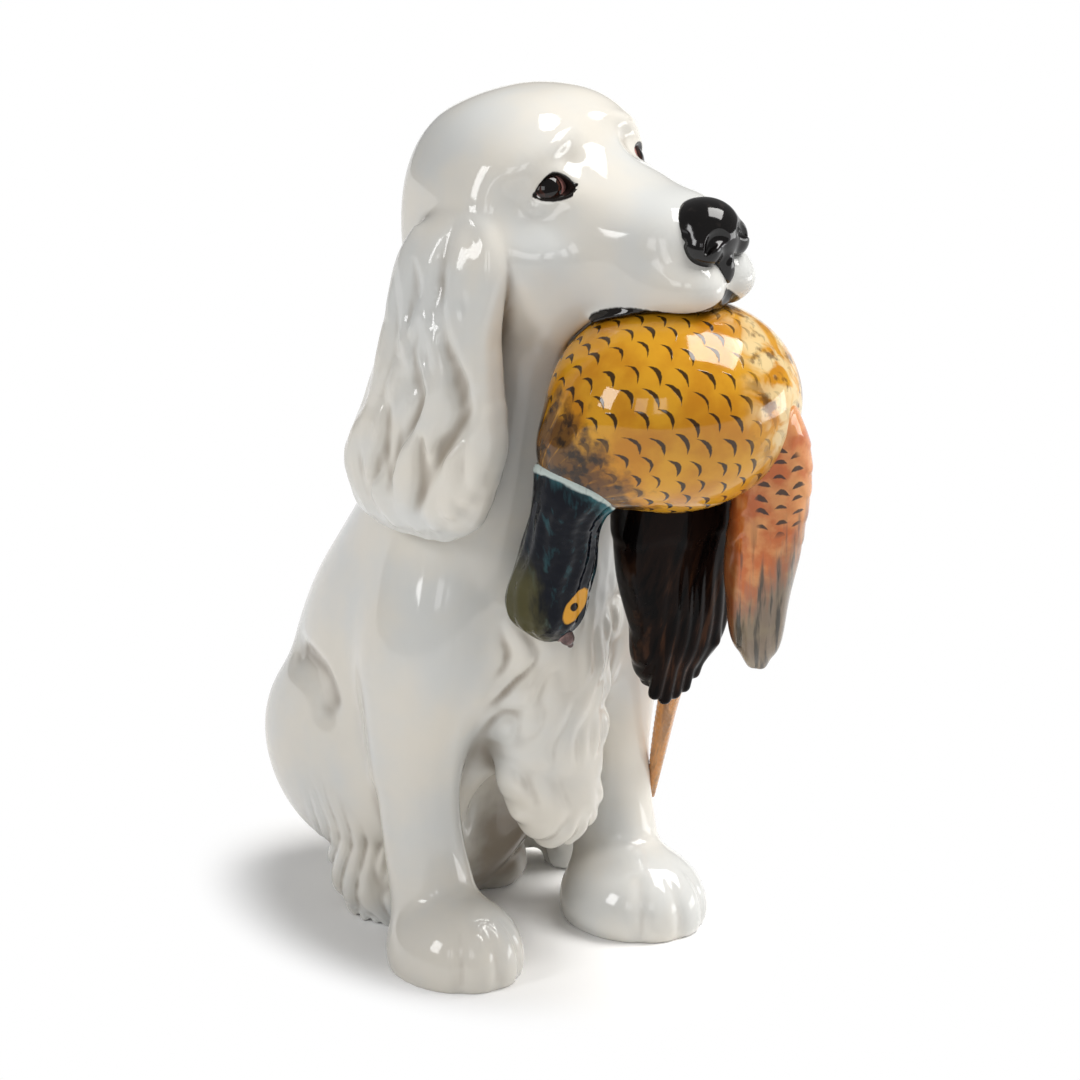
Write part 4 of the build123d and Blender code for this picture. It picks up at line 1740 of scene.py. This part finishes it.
@dataclass
class Ear(DogPart):
    """One long hanging ear, its hair in wavy locks with valleys between them."""

    side: Side
    root: Vec = (37.0, 8.0, 0.0)
    rows: Rows = (
        (0, 0, 0.5, 5, 10.5), (10, 4, -1.5, 8, 18.5), (30, 7, -3.5, 10, 21.5), (55, 9, -5.5, 12, 25.5),
        (78, 11, -8, 13, 30), (95, 11, -11.5, 12.5, 27.5), (104, 9.5, -13, 9.5, 22),
        (109, 8.5, -13.5, 5, 13.5),
    )
    locks: tuple[tuple[tuple[float, float, float], ...], ...] = (
        ((1, 2, 3), (8, 4, 4), (12, 10, 4.5), (13, 20, 5), (13.5, 36, 4.5), (15, 54, 5), (16.5, 72, 5.5),
         (12, 88, 4)),
        ((1, 14, 2), (4, 25, 4), (8, 35, 5), (10, 46, 5), (10.5, 60, 5), (8, 76, 6), (7, 93, 5)),
        ((-14, 8, 2), (-10, 22, 4), (-8, 32, 4), (-11, 41, 4), (-4, 50, 5), (0, 57, 5), (-4, 70, 6),
         (-9, 86, 7), (-6, 101, 4)),
        ((-3, 33, 2), (2, 45, 4), (4, 56, 5), (2, 69, 5), (-1, 85, 6), (1, 99, 4)),
        ((-16, 9, 3), (-19, 24, 4), (-21, 43, 4), (-22, 58, 4), (-27, 74, 6), (-31, 86, 6), (-25, 99, 4)),
        ((-14, 50, 2), (-17, 64, 4), (-21, 78, 5), (-19, 92, 5), (-15, 102, 3)),
    )
    valleys: tuple[tuple[tuple[float, float], ...], ...] = (
        ((0, 2), (-0.5, 12), (0, 22), (0, 34)),
        ((-9, 40), (-5, 51), (-4, 62), (-11, 75), (-15, 90)),
        ((6, 40), (11, 52), (12, 64), (6, 74), (2, 83)),
        ((-18, 60), (-15, 72), (-18, 80), (-22, 90)),
        ((-1.5, 70), (0, 80), (-1, 88), (-6, 98)),
        ((-12, 16), (-10, 26), (-12, 38)),
    )
    valley_radius: float = 2.3

    def _outer(self, v: float, w: float) -> float:
        """Return how far out the ear's plain face is at a place on it."""
        rows = np.array(self.rows, float)
        cu, cv, ru, rv = (np.interp(w, rows[:, 0], rows[:, k]) for k in range(1, 5))
        return float(cu + ru * math.sqrt(max(1 - ((v - cv) / rv) ** 2, 0.0)))

    def model(self, clay: Clay, owner: int) -> None:
        """Build the ear up in the clay."""
        sign = self.side.value
        origin = HEAD_STAND.point(sign * self.root[0], self.root[1], self.root[2])
        outward = tuple(sign * c for c in HEAD_STAND.u)
        stand = Stand(origin, outward, HEAD_STAND.w, DOWN)
        coat = Coat(pitch=8.0, length=30.0, height=0.8, seed=20 + sign)

        def relief(x: Array, y: Array, z: Array) -> Array:
            """Comb fine hair over the outer face."""
            u, v, w = stand.local(x, y, z)
            return (coat.rise(v + 2.5 * np.sin(w / 9.0), w) - 0.6) * step_up(8, 36, w) * step_up(0.0, 8.0, u)

        plain = Loft(stand, self.rows)
        clay.add(plain, 2.5, owner)
        for lock in self.locks:
            sunk = [0.95 - 0.5 * float(step_up(8, 46, np.array(w))) for _, w, _ in lock]
            run = tuple(stand.point(self._outer(v, w) - k * r, v, w) for (v, w, r), k in zip(lock, sunk))
            clay.add(Stroke(run, tuple(0.92 * r for _, _, r in lock)).eased(), 2.8)
        for valley in self.valleys:
            run = tuple(stand.point(self._outer(v, w) + 1.1, v, w) for v, w in valley)
            radii = (0.5,) + (self.valley_radius,) * (len(valley) - 2) + (0.5,)
            clay.carve(Stroke(run, radii).eased(), 4.5)
        clay.ruffle(plain, relief, 7.0)


@dataclass
class Foreleg(DogPart):
    """One straight foreleg with its paw and toes."""

    side: Side
    spread: float = 38.0
    rows: Rows = (
        (3, 0, -8, 14, 16), (22, -0.5, -11, 14, 15.5), (40, -1.5, -15, 13.2, 14.2),
        (60, -2, -17.5, 13.6, 14.8), (80, -2, -18, 15.8, 17), (96, -1, -17, 17, 19),
    )
    arm_rows: Rows = (
        (62, -2, -18, 12.5, 13.5), (84, -1, -17.5, 16.5, 18.5), (104, 0, -17, 19, 22), (128, 5, -17, 17, 20),
        (151, 10, -21, 11, 13),
    )
    paw_radii: Vec = (21.5, 25.5, 20.0)
    paw_rise: float = 6.0
    right_paw: Vec = (-1.5, 2.5, 0.0)
    left_paw: Vec = (-2.5, 2.5, 2.0)
    toe_turns: Floats = (-36.0, -2.0, 32.0)
    toe_run: tuple[tuple[float, float], ...] = ((0.72, 0.70), (0.90, 0.45), (1.0, 0.10), (0.99, -0.22))
    toe_radii: Floats = (0.3, 0.8, 1.2, 1.2)

    def model(self, clay: Clay, owner: int) -> None:
        """Build the leg up in the clay."""
        sign = self.side.value
        stand = Stand(spot(sign * self.spread, 0, 0), u=(-float(sign), 0.0, 0.0))
        clay.add(Loft(stand, self.arm_rows), 18.0, owner)
        clay.add(Loft(stand, self.rows), 5.0, owner)
        across, ahead, more = self.right_paw if self.side is Side.RIGHT else self.left_paw
        paw = Stand(spot(sign * self.spread + across, ahead, self.paw_rise))
        wide, long, tall = self.paw_radii[0] + more, self.paw_radii[1] + more, self.paw_radii[2]
        clay.add(Lump(paw, (wide, long, tall)), 7.0, owner)
        for turn in self.toe_turns:
            a = math.radians(turn)
            run = tuple(
                paw.point(share * wide * math.sin(a), share * long * math.cos(a), high * tall)
                for share, high in self.toe_run
            )
            clay.carve(Stroke(run, self.toe_radii).eased(), 5.0)


@dataclass
class HindLeg(DogPart):
    """One hind foot with the fringe of the thigh above it."""

    side: Side
    foot_spread: float = 16.0
    foot_back: float = 58.5
    spread: float = 31.0
    back: float = 50.0
    foot_radii: Vec = (14.5, 19.0, 12.0)
    foot_rise: float = 8.0
    rows: Rows = (
        (0, 0, 0, 9, 12), (6.3, 1, 0, 12.5, 15), (25, 4, -2, 13.5, 17), (50, 8, -8, 12, 17),
        (70, 9, -15, 7, 11),
    )
    far_rows: Rows = (
        (0, 15, 1, 6, 8), (12, 15, 0, 8, 10), (27, 11, -2, 10.5, 14), (50, 8, -8, 12, 17),
        (70, 9, -15, 7, 11),
    )
    hock: Run = ((-14.0, -13.0, 7.0), (2.0, -20.0, 8.0), (14.0, -8.0, 10.0))
    hock_radius: float = 6.0

    def model(self, clay: Clay, owner: int) -> None:
        """Build the foot and the fringe up in the clay."""
        sign = self.side.value
        foot = Stand(spot(sign * self.foot_spread, -self.foot_back, self.foot_rise))
        clay.add(Lump(foot, self.foot_radii), 4.0, owner)
        coat = Coat(pitch=10.5, length=26.0, height=3.9, seed=31 + sign)
        stand = Stand(spot(sign * self.spread, -self.back, 0), u=(float(sign), 0.0, 0.0))

        def relief(x: Array, y: Array, z: Array) -> Array:
            """Raise the fringe's locks on its outer and front faces."""
            u, v, w = stand.local(x, y, z)
            across = v - 0.6 * u + 2.0 * np.sin(w / 7.0)
            return (coat.rise(across, w) - 2.4) * step_up(-6.0, 2.0, u + 0.5 * v) * step_up(84.0, 60.0, w)

        fringe = Loft(stand, self.rows if self.side is Side.RIGHT else self.far_rows)
        clay.add(fringe, 5.0, owner)
        if self.side is Side.LEFT:
            clay.add(Stroke(stand.run(self.hock), (self.hock_radius,) * len(self.hock)), 4.0, owner)
        clay.ruffle(fringe, relief, 4.0)


@dataclass
class ChestFeathering(DogPart):
    """The long hair of the chest, in overlapping tufts."""

    rows: Rows = (
        (36, 2, 2, 5, 6), (42, 2, 3, 13, 11), (58, 1, 2, 19, 15), (80, 0, 1, 22, 17), (105, 0, 0, 24, 18),
        (135, 0, 0, 22, 16), (150, 0, 0, 14, 12),
    )
    proud: float = 1.9

    def model(self, clay: Clay, owner: int) -> None:
        """Build the hair up in the clay."""
        coat = Coat(pitch=11.0, length=22.0, height=self.proud, seed=43, sharp=1.1)
        stand = Stand(spot(0, 0, 0))

        def relief(x: Array, y: Array, z: Array) -> Array:
            """Raise the tufts on the front, more so at the sides and the lower edge."""
            u, v, w = stand.local(x, y, z)
            more = 0.5 + 0.8 * np.maximum(step_up(8.0, 20.0, np.abs(u)), step_up(70.0, 44.0, w))
            tufts = coat.rise(u + 3.0 * np.sin(w / 10.0), w) - 0.8 * self.proud
            kept = np.maximum(step_up(-30.0, -19.0, u), step_up(96.0, 62.0, w)) * step_up(150.0, 110.0, w)
            return tufts * more * step_up(-8.0, 2.0, v) * kept

        tuft = Loft(stand, self.rows)
        clay.add(tuft, 7.0, owner)
        clay.ruffle(tuft, relief, 6.0)


@dataclass
class Tail(DogPart):
    """The short feathered tail, lying on the floor."""

    back: float = 88.0
    rise: float = 9.0
    turn: float = math.radians(30.0)
    rows: Rows = ((0, 0, 0, 11, 8), (20, 0, 0, 8.8, 7.6), (34, 0, 0, 5.7, 5.3), (40, 0, 0, 2, 2))

    def model(self, clay: Clay, owner: int) -> None:
        """Build the tail up in the clay."""
        way = (math.sin(self.turn), math.cos(self.turn), 0.0)
        stand = aimed(spot(0, -self.back, self.rise), way, LEFTWARD)
        coat = Coat(pitch=7.0, length=40.0, height=1.6, seed=57)

        def relief(u: Array, v: Array, w: Array) -> Array:
            """Raise the locks along the tail."""
            return coat.rise(np.arctan2(v, u) * 8.0, w) - 0.7

        clay.add(Loft(stand, self.rows, relief), 6.0, owner)


@dataclass
class Spaniel:
    """The whole dog, modelled as one block of clay and then cut along the maker's joins."""

    voxel: float = 0.85
    low: Vec = (-70.0, -98.0, -4.0)
    high: Vec = (72.0, 116.0, 302.0)
    torso: Torso = field(default_factory=Torso)
    head: Head = field(default_factory=Head)
    chest: ChestFeathering = field(default_factory=ChestFeathering)
    tail: Tail = field(default_factory=Tail)
    bite: float = 0.7

    def build(self, finish: WhiteGlaze) -> None:
        """Model the dog and make its pieces.

        Args:
            finish: the glaze of the whole dog.
        """
        clay = Clay(self.low, self.high, self.voxel)
        parts: dict[str, DogPart] = {"body": self.torso, "head": self.head}
        for side in Side:
            parts[f"{side.prefix}_ear"] = Ear(side)
            parts[f"{side.prefix}_foreleg"] = Foreleg(side)
            parts[f"{side.prefix}_hind_leg"] = HindLeg(side)
        parts["chest_feathering"] = self.chest
        parts["tail"] = self.tail
        for owner, (name, part) in enumerate(parts.items()):
            part.model(clay, owner)
            log.info("%s modelled", name)
        mouth = tuple(r + self.bite for r in BIRD_RADII)
        clay.carve(Lump(Stand(BIRD_MIDDLE), mouth), 1.6)
        clay.soften(2)
        clay.level()
        skin = clay.skin()
        labels = settle(skin, skin.owners[skin.quads[:, 0]], len(parts))
        plain, marked = finish.material(False), finish.material(True)
        for owner, name in enumerate(parts):
            own = cut_out(skin, labels, owner, clay)
            marks = self.head.marks(own) if name == "head" else {}
            piece = make_piece(f"{name}_glazed", own, marks)
            fit(piece, name, marked if marks else plain)


@dataclass
class GameBird:
    """The bird in the dog's mouth: round body, hanging neck and head, wing, rump and long feather."""

    voxel: float = 0.6
    breast_way: Vec = (0.85, -0.25, 0.46)
    breast_radius: float = 38.0
    plain_way: Vec = unit((0.86, -0.42, 0.2))
    flare: Vec = (-16.5, -65.5, 189.5)
    flare_radii: Vec = (18.5, 18.5, 17.0)
    neck_root: Vec = (-20.0, -64.5, 187.5)
    neck_rows: Rows = (
        (-9, 5, 0, 9, 9), (0, 1, 0, 14.5, 14.5), (9, -1, -0.5, 15.2, 15.2), (19, -2.8, -4.2, 12.4, 12.4),
        (30, -1.8, -10, 12.2, 12.2), (42, 0.4, -16, 13.4, 13), (52, 1, -20.5, 13.8, 13.2),
        (62, 2, -22, 10.8, 10.6), (68, 3, -22, 4, 4),
    )
    ring: float = 11.0
    patch: Vec = (-14.5, -51.0, 133.5)
    patch_out: Vec = (-0.40, -0.86, 0.20)
    patch_along: Vec = (0.56, -0.07, 0.82)
    patch_sunk: Vec = (0.0, 0.0, -1.4)
    patch_radii: Vec = (6.8, 3.6, 2.6)
    beak_middle: Vec = (-14.9, -47.6, 120.9)
    beak_voxel: float = 0.3
    upper_beak: Run = ((-1.6, 0.6, 4.2), (0.2, -1.2, 0.0), (1.2, -1.6, -2.4))
    upper_radii: Floats = (3.4, 2.5, 1.1)
    lower_beak: Run = ((-1.8, 2.6, 3.6), (-0.8, 2.0, -0.8))
    lower_radii: Floats = (2.6, 1.2)
    wing_root: Vec = (33.3, -94.2, 208.2)
    wing_rows: Rows = (
        (0, -4.3, 0.8, 7, 8), (12, 0.2, -0.3, 10, 10.5), (28, 3, -2.7, 12, 12.5), (48, 3.1, -6.2, 12, 13),
        (80, 5.9, -14.2, 9.2, 10.5), (96, 8.5, -17.2, 5.6, 6.2), (102, 9.6, -18.2, 2.2, 2.5),
    )
    wing_face: Vec = (0.7986, -0.6018, 0.0)
    wing_middle: Vec = (2.5, 4.0, 0.0)
    wing_turn: float = 62.0
    rump_root: Vec = (23.8, -56.5, 177.8)
    rump_rows: Rows = (
        (0, 0, 0, 20, 15), (15.6, 1, -1, 22, 16), (42, 4, -5, 21, 13), (64, 8, -8.5, 17.5, 10.5),
        (77, 6, -11, 12, 8.5), (83, 4.5, -12, 7, 5),
    )
    strips: tuple[tuple[float, float], ...] = (
        (-3.0, 83.6), (1.0, 86.1), (5.0, 85.1), (9.0, 83.6), (13.0, 79.6), (17.5, 73.6),
    )
    strip_radii: Floats = (1.6, 2.6, 2.4)
    feather_root: Vec = (40.2, -42.5, 104.7)
    feather_way: Vec = (0.24, 0.49, -0.83)
    feather_voxel: float = 0.5
    feather_rows: Rows = (
        (0, -1, 0, 7, 4.4), (20, -3, 0, 4.4, 3.6), (45, -3.4, 0, 3.3, 2.8), (70, -3, 0, 2.1, 1.9),
        (84, -2.5, 0, 1.0, 1.0),
    )

    def _make(
        self, node: str, look: bpy.types.Material, forms: Sequence[Blended], voxel: float
    ) -> None:
        """Make one piece of the bird from its forms and set it on its CAD node.

        Args:
            node: the piece's CAD node.
            look: the piece's finish.
            forms: the forms to add, with their fillets.
            voxel: the size of the voxels.
        """
        corners = [form.reach() for form, _ in forms]
        room = 4.0
        low = np.min([low for low, _ in corners], axis=0) - room
        high = np.max([high for _, high in corners], axis=0) + room
        clay = Clay(tuple(low), tuple(high), voxel)
        for form, blend in forms:
            clay.add(form, blend)
        clay.soften(1)
        fit(make_piece(f"{node}_painted", clay.skin(), {}), node, look)

    def build_body(self, finish: BreastGlaze) -> None:
        """Make the round body with its crescents."""
        body = Lump(Stand(BIRD_MIDDLE), BIRD_RADII)
        neck = Lump(Stand(self.flare), self.flare_radii)
        ball = aimed(BIRD_MIDDLE, self.breast_way, (0.0, -1.0, 0.0))
        look = finish.material(ball, self.breast_radius, self.plain_way, self.neck_root)
        self._make("bird_body", look, ((body, 0.0), (neck, 12.0)), self.voxel)

    def build_head(self, neck_finish: NeckGlaze, beak_finish: BeakGlaze) -> None:
        """Make the hanging neck and head, with the pale ring and the beak."""
        down = Stand(self.neck_root, w=DOWN)

        def relief(u: Array, v: Array, w: Array) -> Array:
            """Raise the ring and the neck's fine feathers."""
            ring = 0.9 * np.exp(-((w - RING_SLANT * u - self.ring) / 2.2) ** 2)
            feathers = 0.35 * np.sin(np.arctan2(v, u) * 13 + 0.25 * np.sin(w / 4.0) * 4)
            return ring + feathers * step_up(8, 16, w)

        neck = Loft(down, self.neck_rows, relief)
        patch = aimed(self.patch, self.patch_out, self.patch_along)
        raised = lump_on(patch, self.patch_sunk, self.patch_radii)
        look = neck_finish.material(down, self.ring, patch)
        self._make("bird_head", look, ((neck, 0.0), (raised, 0.8)), self.voxel)
        upper = Stroke(shifted(self.upper_beak, self.beak_middle), self.upper_radii)
        lower = Stroke(shifted(self.lower_beak, self.beak_middle), self.lower_radii)
        beak = ((upper, 0.0), (lower, 0.6))
        self._make("bird_beak", beak_finish.material(), beak, self.beak_voxel)

    def build_wing(self, finish: WingGlaze) -> None:
        """Make the folded wing, its feathers lapped in rows."""
        stand = Stand(self.wing_root, w=DOWN)

        def relief(u: Array, v: Array, w: Array) -> Array:
            """Lap the short feathers and groove the long ones."""
            face = 0.8 * u + 0.6 * v
            lap = (w / 8.5 + 0.35 * np.cos(face * 0.8)) % 1.0
            short = 0.5 * lap ** 2 * step_up(62, 50, w)
            long = 0.7 * np.abs(np.cos(face * 0.62 + 0.02 * w)) * step_up(46, 62, w)
            return short + long

        middle = shifted((self.wing_root,), self.wing_middle)[0]
        painted = Stand(middle, cross(self.wing_face, stand.w), self.wing_face, stand.w)
        look = finish.material(painted, self.wing_turn)
        wing = Loft(stand, self.wing_rows, relief)
        self._make("bird_wing", look, ((wing, 0.0),), self.voxel)

    def build_tail(self, rump_finish: RumpGlaze, feather_finish: FeatherGlaze) -> None:
        """Make the rump with its coverts and the long tail feather."""
        down = Stand(self.rump_root, w=DOWN)

        def covert(u: Array, v: Array, w: Array) -> Array:
            """Groove the coverts lengthwise and end their skirt in a ledge."""
            skirt = 0.7 * step_up(28.0, 23.0, w + 1.5 * np.sin(u * 0.35))
            grooves = 0.8 * np.abs(np.sin(u * 0.66 + 0.03 * w)) ** 0.7 * step_up(28.0, 50.0, w)
            return skirt + grooves - 0.5

        forms = [(Loft(down, self.rump_rows, covert, 2.5), 0.0)]
        for across, low in self.strips:
            hang = ((across, 0.5, 54.0), (across, -1.8, 68.0), (across, -6.5, low))
            forms.append((Stroke(down.run(hang), self.strip_radii), 0.8))
        self._make("bird_rump", rump_finish.material(down), forms, self.voxel)
        along = aimed(self.feather_root, self.feather_way, LEFTWARD)

        def quill(u: Array, v: Array, w: Array) -> Array:
            """Raise the quill and comb the barbs."""
            return 0.6 * np.exp(-(u / 1.0) ** 2) + 0.18 * np.sin((w + 1.4 * np.abs(u)) * 2.1)

        look = feather_finish.material(along)
        feather = Loft(along, self.feather_rows, quill)
        self._make("bird_tail", look, ((feather, 0.0),), self.feather_voxel)


@dataclass(frozen=True)
class Lamp:
    """A soft square lamp that looks at the figure."""

    name: str
    place: Vec
    wide: float
    tall: float
    watts: float
    tint: Colour = (1.0, 1.0, 1.0)


@dataclass
class Studio:
    """The camera, the lamps, the white floor and the white room around them."""

    azimuth: float = -37.0
    elevation: float = 19.0
    away: float = 2.0
    target: Vec = (0.002, -0.012, 0.141)
    pixels_per_mm: float = 3.03
    image: int = 1080
    sensor: float = 36.0
    lamps: tuple[Lamp, ...] = (
        Lamp("key_softbox", (0.90, -0.42, 1.75), 1.1, 1.1, 39.0, (1.0, 0.985, 0.96)),
        Lamp("window_left", (-1.40, 0.05, 0.90), 0.40, 0.60, 6.6),
        Lamp("window_front_near", (-1.30, -0.95, 0.95), 0.32, 0.52, 1.4),
        Lamp("window_front_far", (-0.95, -1.30, 0.95), 0.32, 0.52, 1.4),
        Lamp("low_card", (0.80, -0.45, 0.12), 0.50, 0.20, 1.3),
    )
    room_light: float = 0.20
    floor_half: float = 6.0
    shadow_middle: Vec = spot(0.0, -37.0, 0.0)
    shadow_reach: tuple[float, float] = (56.0, 80.0)
    shadow_fade: tuple[float, float] = (1.0, 1.55)

    def _axes(self) -> tuple[Vector, Vector, Vector]:
        """Return the camera's right, up and back."""
        a, e = math.radians(self.azimuth), math.radians(self.elevation)
        back = Vector((math.sin(a) * math.cos(e), -math.cos(a) * math.cos(e), math.sin(e)))
        right = Vector((math.cos(a), math.sin(a), 0.0))
        return right, back.cross(right), back

    def camera(self) -> None:
        """Set the camera at the photograph's viewing angle."""
        data = bpy.data.cameras.new("camera")
        right, up, back = self._axes()
        wide = self.image / self.pixels_per_mm * MM
        data.sensor_width = self.sensor
        data.lens = self.sensor * self.away / wide
        data.clip_end = 50.0
        camera = bpy.data.objects.new("camera", data)
        turn = Matrix((right, up, back)).transposed().to_4x4()
        camera.matrix_world = Matrix.Translation(Vector(self.target) + back * self.away) @ turn
        bpy.context.scene.collection.objects.link(camera)
        bpy.context.scene.camera = camera

    def light(self) -> None:
        """Hang the lamps."""
        for lamp in self.lamps:
            data = bpy.data.lights.new(lamp.name, "AREA")
            data.shape = "RECTANGLE"
            data.size, data.size_y = lamp.wide, lamp.tall
            data.energy = lamp.watts
            data.color = lamp.tint
            lit = bpy.data.objects.new(lamp.name, data)
            way = Vector(self.target) - Vector(lamp.place)
            lit.rotation_euler = way.to_track_quat("-Z", "Y").to_euler()
            lit.location = lamp.place
            bpy.context.scene.collection.objects.link(lit)

    def room(self) -> None:
        """Make the room's soft even light."""
        world = bpy.data.worlds.new("pale_room")
        bpy.context.scene.world = world
        world.use_nodes = True
        shade = world.node_tree.nodes["Background"]
        shade.inputs["Color"].default_value = (1.0, 1.0, 1.0, 1.0)
        shade.inputs["Strength"].default_value = self.room_light

    def floor(self) -> None:
        """Lay the pale floor, which keeps the figure's shadow and is plain white further off."""
        half = self.floor_half
        mesh = bpy.data.meshes.new("floor")
        corners = [(-half, -half, 0.0), (half, -half, 0.0), (half, half, 0.0), (-half, half, 0.0)]
        mesh.from_pydata(corners, [], [(0, 1, 2, 3)])
        floor = bpy.data.objects.new("floor", mesh)
        bpy.context.scene.collection.objects.link(floor)
        pot = Pot("pale floor")
        path = pot.tree.nodes.new("ShaderNodeLightPath")
        seen, shiny, through = (
            Wire(pot.tree, path.outputs[f"Is {kind} Ray"]) for kind in ("Camera", "Glossy", "Transmission")
        )
        seen = seen.math("MAXIMUM", shiny).math("MAXIMUM", through)
        x, y, _ = pot.axes(Stand(self.shadow_middle))
        wide, deep = self.shadow_reach
        past = (x * x / wide ** 2 + y * y / deep ** 2).math("SQRT").rise(*self.shadow_fade) * seen
        grain = pot.mix(paint(240, 239, 237), paint(246, 245, 243), pot.noise(40.0))
        white = pot.mix(grain, (1.0, 1.0, 1.0), seen)
        pot.fire(pot.mix(white, (0.0, 0.0, 0.0), past), pot.noise(30.0) * 0.1 + 0.85, None, 0.0)
        pot.shader.inputs["Specular IOR Level"].default_value = 0.0
        pot.shader.inputs["Emission Color"].default_value = (1.0, 1.0, 1.0, 1.0)
        pot.tree.links.new(past.socket, pot.shader.inputs["Emission Strength"])
        mesh.materials.append(pot.material)

    def build(self) -> None:
        """Set up the whole studio."""
        self.camera()
        self.light()
        self.room()
        self.floor()
        bpy.context.scene.view_settings.view_transform = "Standard"


def main() -> None:
    """Build the figure and its studio."""
    logging.basicConfig(level=logging.INFO, format="%(name)s: %(message)s")
    Studio().build()
    dog = Spaniel()
    dog.build(WhiteGlaze("white glaze"))
    Nose().build(NoseGlaze("nose black", smooth=0.08, ripple=0.06, ripple_pitch=6.0))
    for eye in dog.head.eyes:
        eye.build(EyeGlaze("eye brown", smooth=0.03, ripple=0.02))
    bird = GameBird()
    bird.build_body(BreastGlaze("breast ochre"))
    neck_finish = NeckGlaze("neck teal", smooth=0.02, ripple=0.35, ripple_pitch=4.0, sheen=0.12)
    bird.build_head(neck_finish, BeakGlaze("beak mauve"))
    bird.build_wing(WingGlaze("wing russet"))
    bird.build_tail(RumpGlaze("tail brown", sheen=0.06), FeatherGlaze("feather tan"))


if __name__ == "__main__":
    main()
